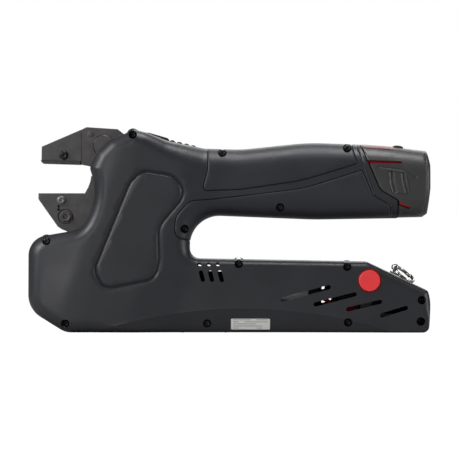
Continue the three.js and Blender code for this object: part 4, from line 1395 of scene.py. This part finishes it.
# %% Trigger
RIDGES = (-39.2, -34.2, -29.3, -24.6)
RIDGE_HALF = 2.35
RIDGE_HEIGHT = 1.2
TRIGGER_HALF = 7.8
TRIGGER_TOP = 132.5     # height of the trigger's top at the first ridge
TRIGGER_FALL = 0.242    # how steeply it slopes down to the rear


def ridge_wave(x, bits=8):
    """One thumb ridge: a half wave on the trigger's sloping top."""
    wave = []
    for k in range(bits + 1):
        along = x + RIDGE_HALF * (2 * k / bits - 1)
        top = TRIGGER_TOP - (along - RIDGES[0]) * TRIGGER_FALL
        wave.append((along, top + RIDGE_HEIGHT * sin(pi * k / bits)))
    return wave


trigger_top = [(-57.6, 138.4), (-57.1, 138.9), (-56.3, 139.1), (-43.2, 135.3), (-42.3, 134.8)]
for x in RIDGES:
    trigger_top += ridge_wave(x)
TRIGGER_FOOT = [(-18.6, 127.8), (-17.6, 124.6), (-26, 126.2), (-30, 124.6), (-30, 122.2),
                (-37, 122.2), (-37, 128.2), (-44, 130.2), (-58, 134.6)]
piece("ridged_thumb_trigger",
      plate("trigger", trigger_top + TRIGGER_FOOT, -TRIGGER_HALF, TRIGGER_HALF, 0.3),
      glass_filled_nylon, "trigger", "housing_nylon", "thumb_trigger")

# %% [markdown]
# ## Behind the slots
# Through the arm's slots the eye meets dark parts, a silver motor, a red lead and, in two places,
# daylight from the far side. A black partition stands behind the board, with two windows in it.
# A short red sleeve and a connector block stand on the board where the slots pass them.

# %% Partition with its two windows
PARTITION = [(48, 5), (128, 5), (129, 29), (96, 44), (48, 46)]
DAYLIGHT = [[(65.4, 29.2), (67.4, 29.6), (67.4, 32.4), (65.4, 32)],
            [(65.2, 19.3), (71, 20.6), (72.2, 22.4), (71, 24.8), (65.2, 23.4)]]
PARTITION_NEAR, PARTITION_FAR = 16.8, 18.2


def partition_mesh():
    """A flat wall with two windows, given its thickness by the skin's own wall."""
    lines = [even(np.array(PARTITION, float), 6.0)]
    lines += [even(np.array(w, float), 1.0) for w in DAYLIGHT]
    flat = np.zeros((0, 2))
    return skin_mesh("partition", 1, lines, flat, covering(lines[:1], lines[1:]),
                     lambda points: np.full(len(points), PARTITION_FAR),
                     wall=PARTITION_FAR - PARTITION_NEAR)


piece("cable_partition", partition_mesh(), inner_black_nylon, "housing", "inner_plastic")

# %% Red lead and connector
LEAD_FOOT = (85.5, -9, 13.1)
LEAD_BEND = 0.01
LEAD_RISE = 0.8
LEAD_RADIUS = 2.4
lead_path = [(LEAD_FOOT[0] + LEAD_BEND * k * k, LEAD_FOOT[1], LEAD_FOOT[2] + LEAD_RISE * k)
             for k in range(12)]
piece("red_lead_sleeve", tube("lead", lead_path, LEAD_RADIUS), red_pvc_sleeve, "housing",
      "red_plastic")
CONNECTOR = [(91.5, 13.1), (99.5, 13.1), (99.5, 20.5), (98, 22), (91.5, 22)]
piece("board_connector", plate("connector", CONNECTOR, -11, -3, 0.4), zinc_plated_steel, "housing",
      "bright_steel")

# %% [markdown]
# ## The top of the pack
# A thin red band lies across the top of the pack, just behind the seam. It follows the rounded
# case and stands a quarter of a millimetre proud. Behind it is the small black catch that a
# charger's lid presses on. The band is one cross-section carried along the top.

# %% Red band on the pack's top
TOP_LINE = ([91.4, 110, 137.6], [130.6, 129.4, 126])    # the case's top, height against length
STRIP_FROM, STRIP_TO = 93.2, 113.8
STRIP_SECTION = [
    (-16, -2.05), (-13, -0.65), (-10, 0.07), (-6, 0.25), (6, 0.25), (10, 0.07), (13, -0.65),
    (16, -2.05), (15.6, -3), (12.5, -1.8), (0, -1), (-12.5, -1.8), (-15.6, -3)]


def strip_mesh():
    """A thin red band that lies over the pack's rounded top and stands a little proud of it."""
    build = bmesh.new()
    rings = []
    for x in np.linspace(STRIP_FROM, STRIP_TO, 14):
        top = np.interp(x, *TOP_LINE)
        section = [(y, top + rise) for y, rise in STRIP_SECTION]
        rings.append([build.verts.new((x * MM, y * MM, z * MM)) for y, z in section])
    lofted(build, rings)
    return finished(build, "strip")


piece("pack_top_strip", strip_mesh(), dark_red_polycarbonate, "battery_pack", "red_plastic")

# %% Catch behind the band
CATCH = [(113.9, 127.4), (114.2, 129.3), (115.4, 129.9), (117.4, 130), (119.6, 129.7),
         (121.2, 128.9), (121.6, 127.2)]
piece("pack_top_catch", plate("catch", CATCH, -9, 9, 0.5), battery_abs, "battery_pack",
      "battery_plastic")
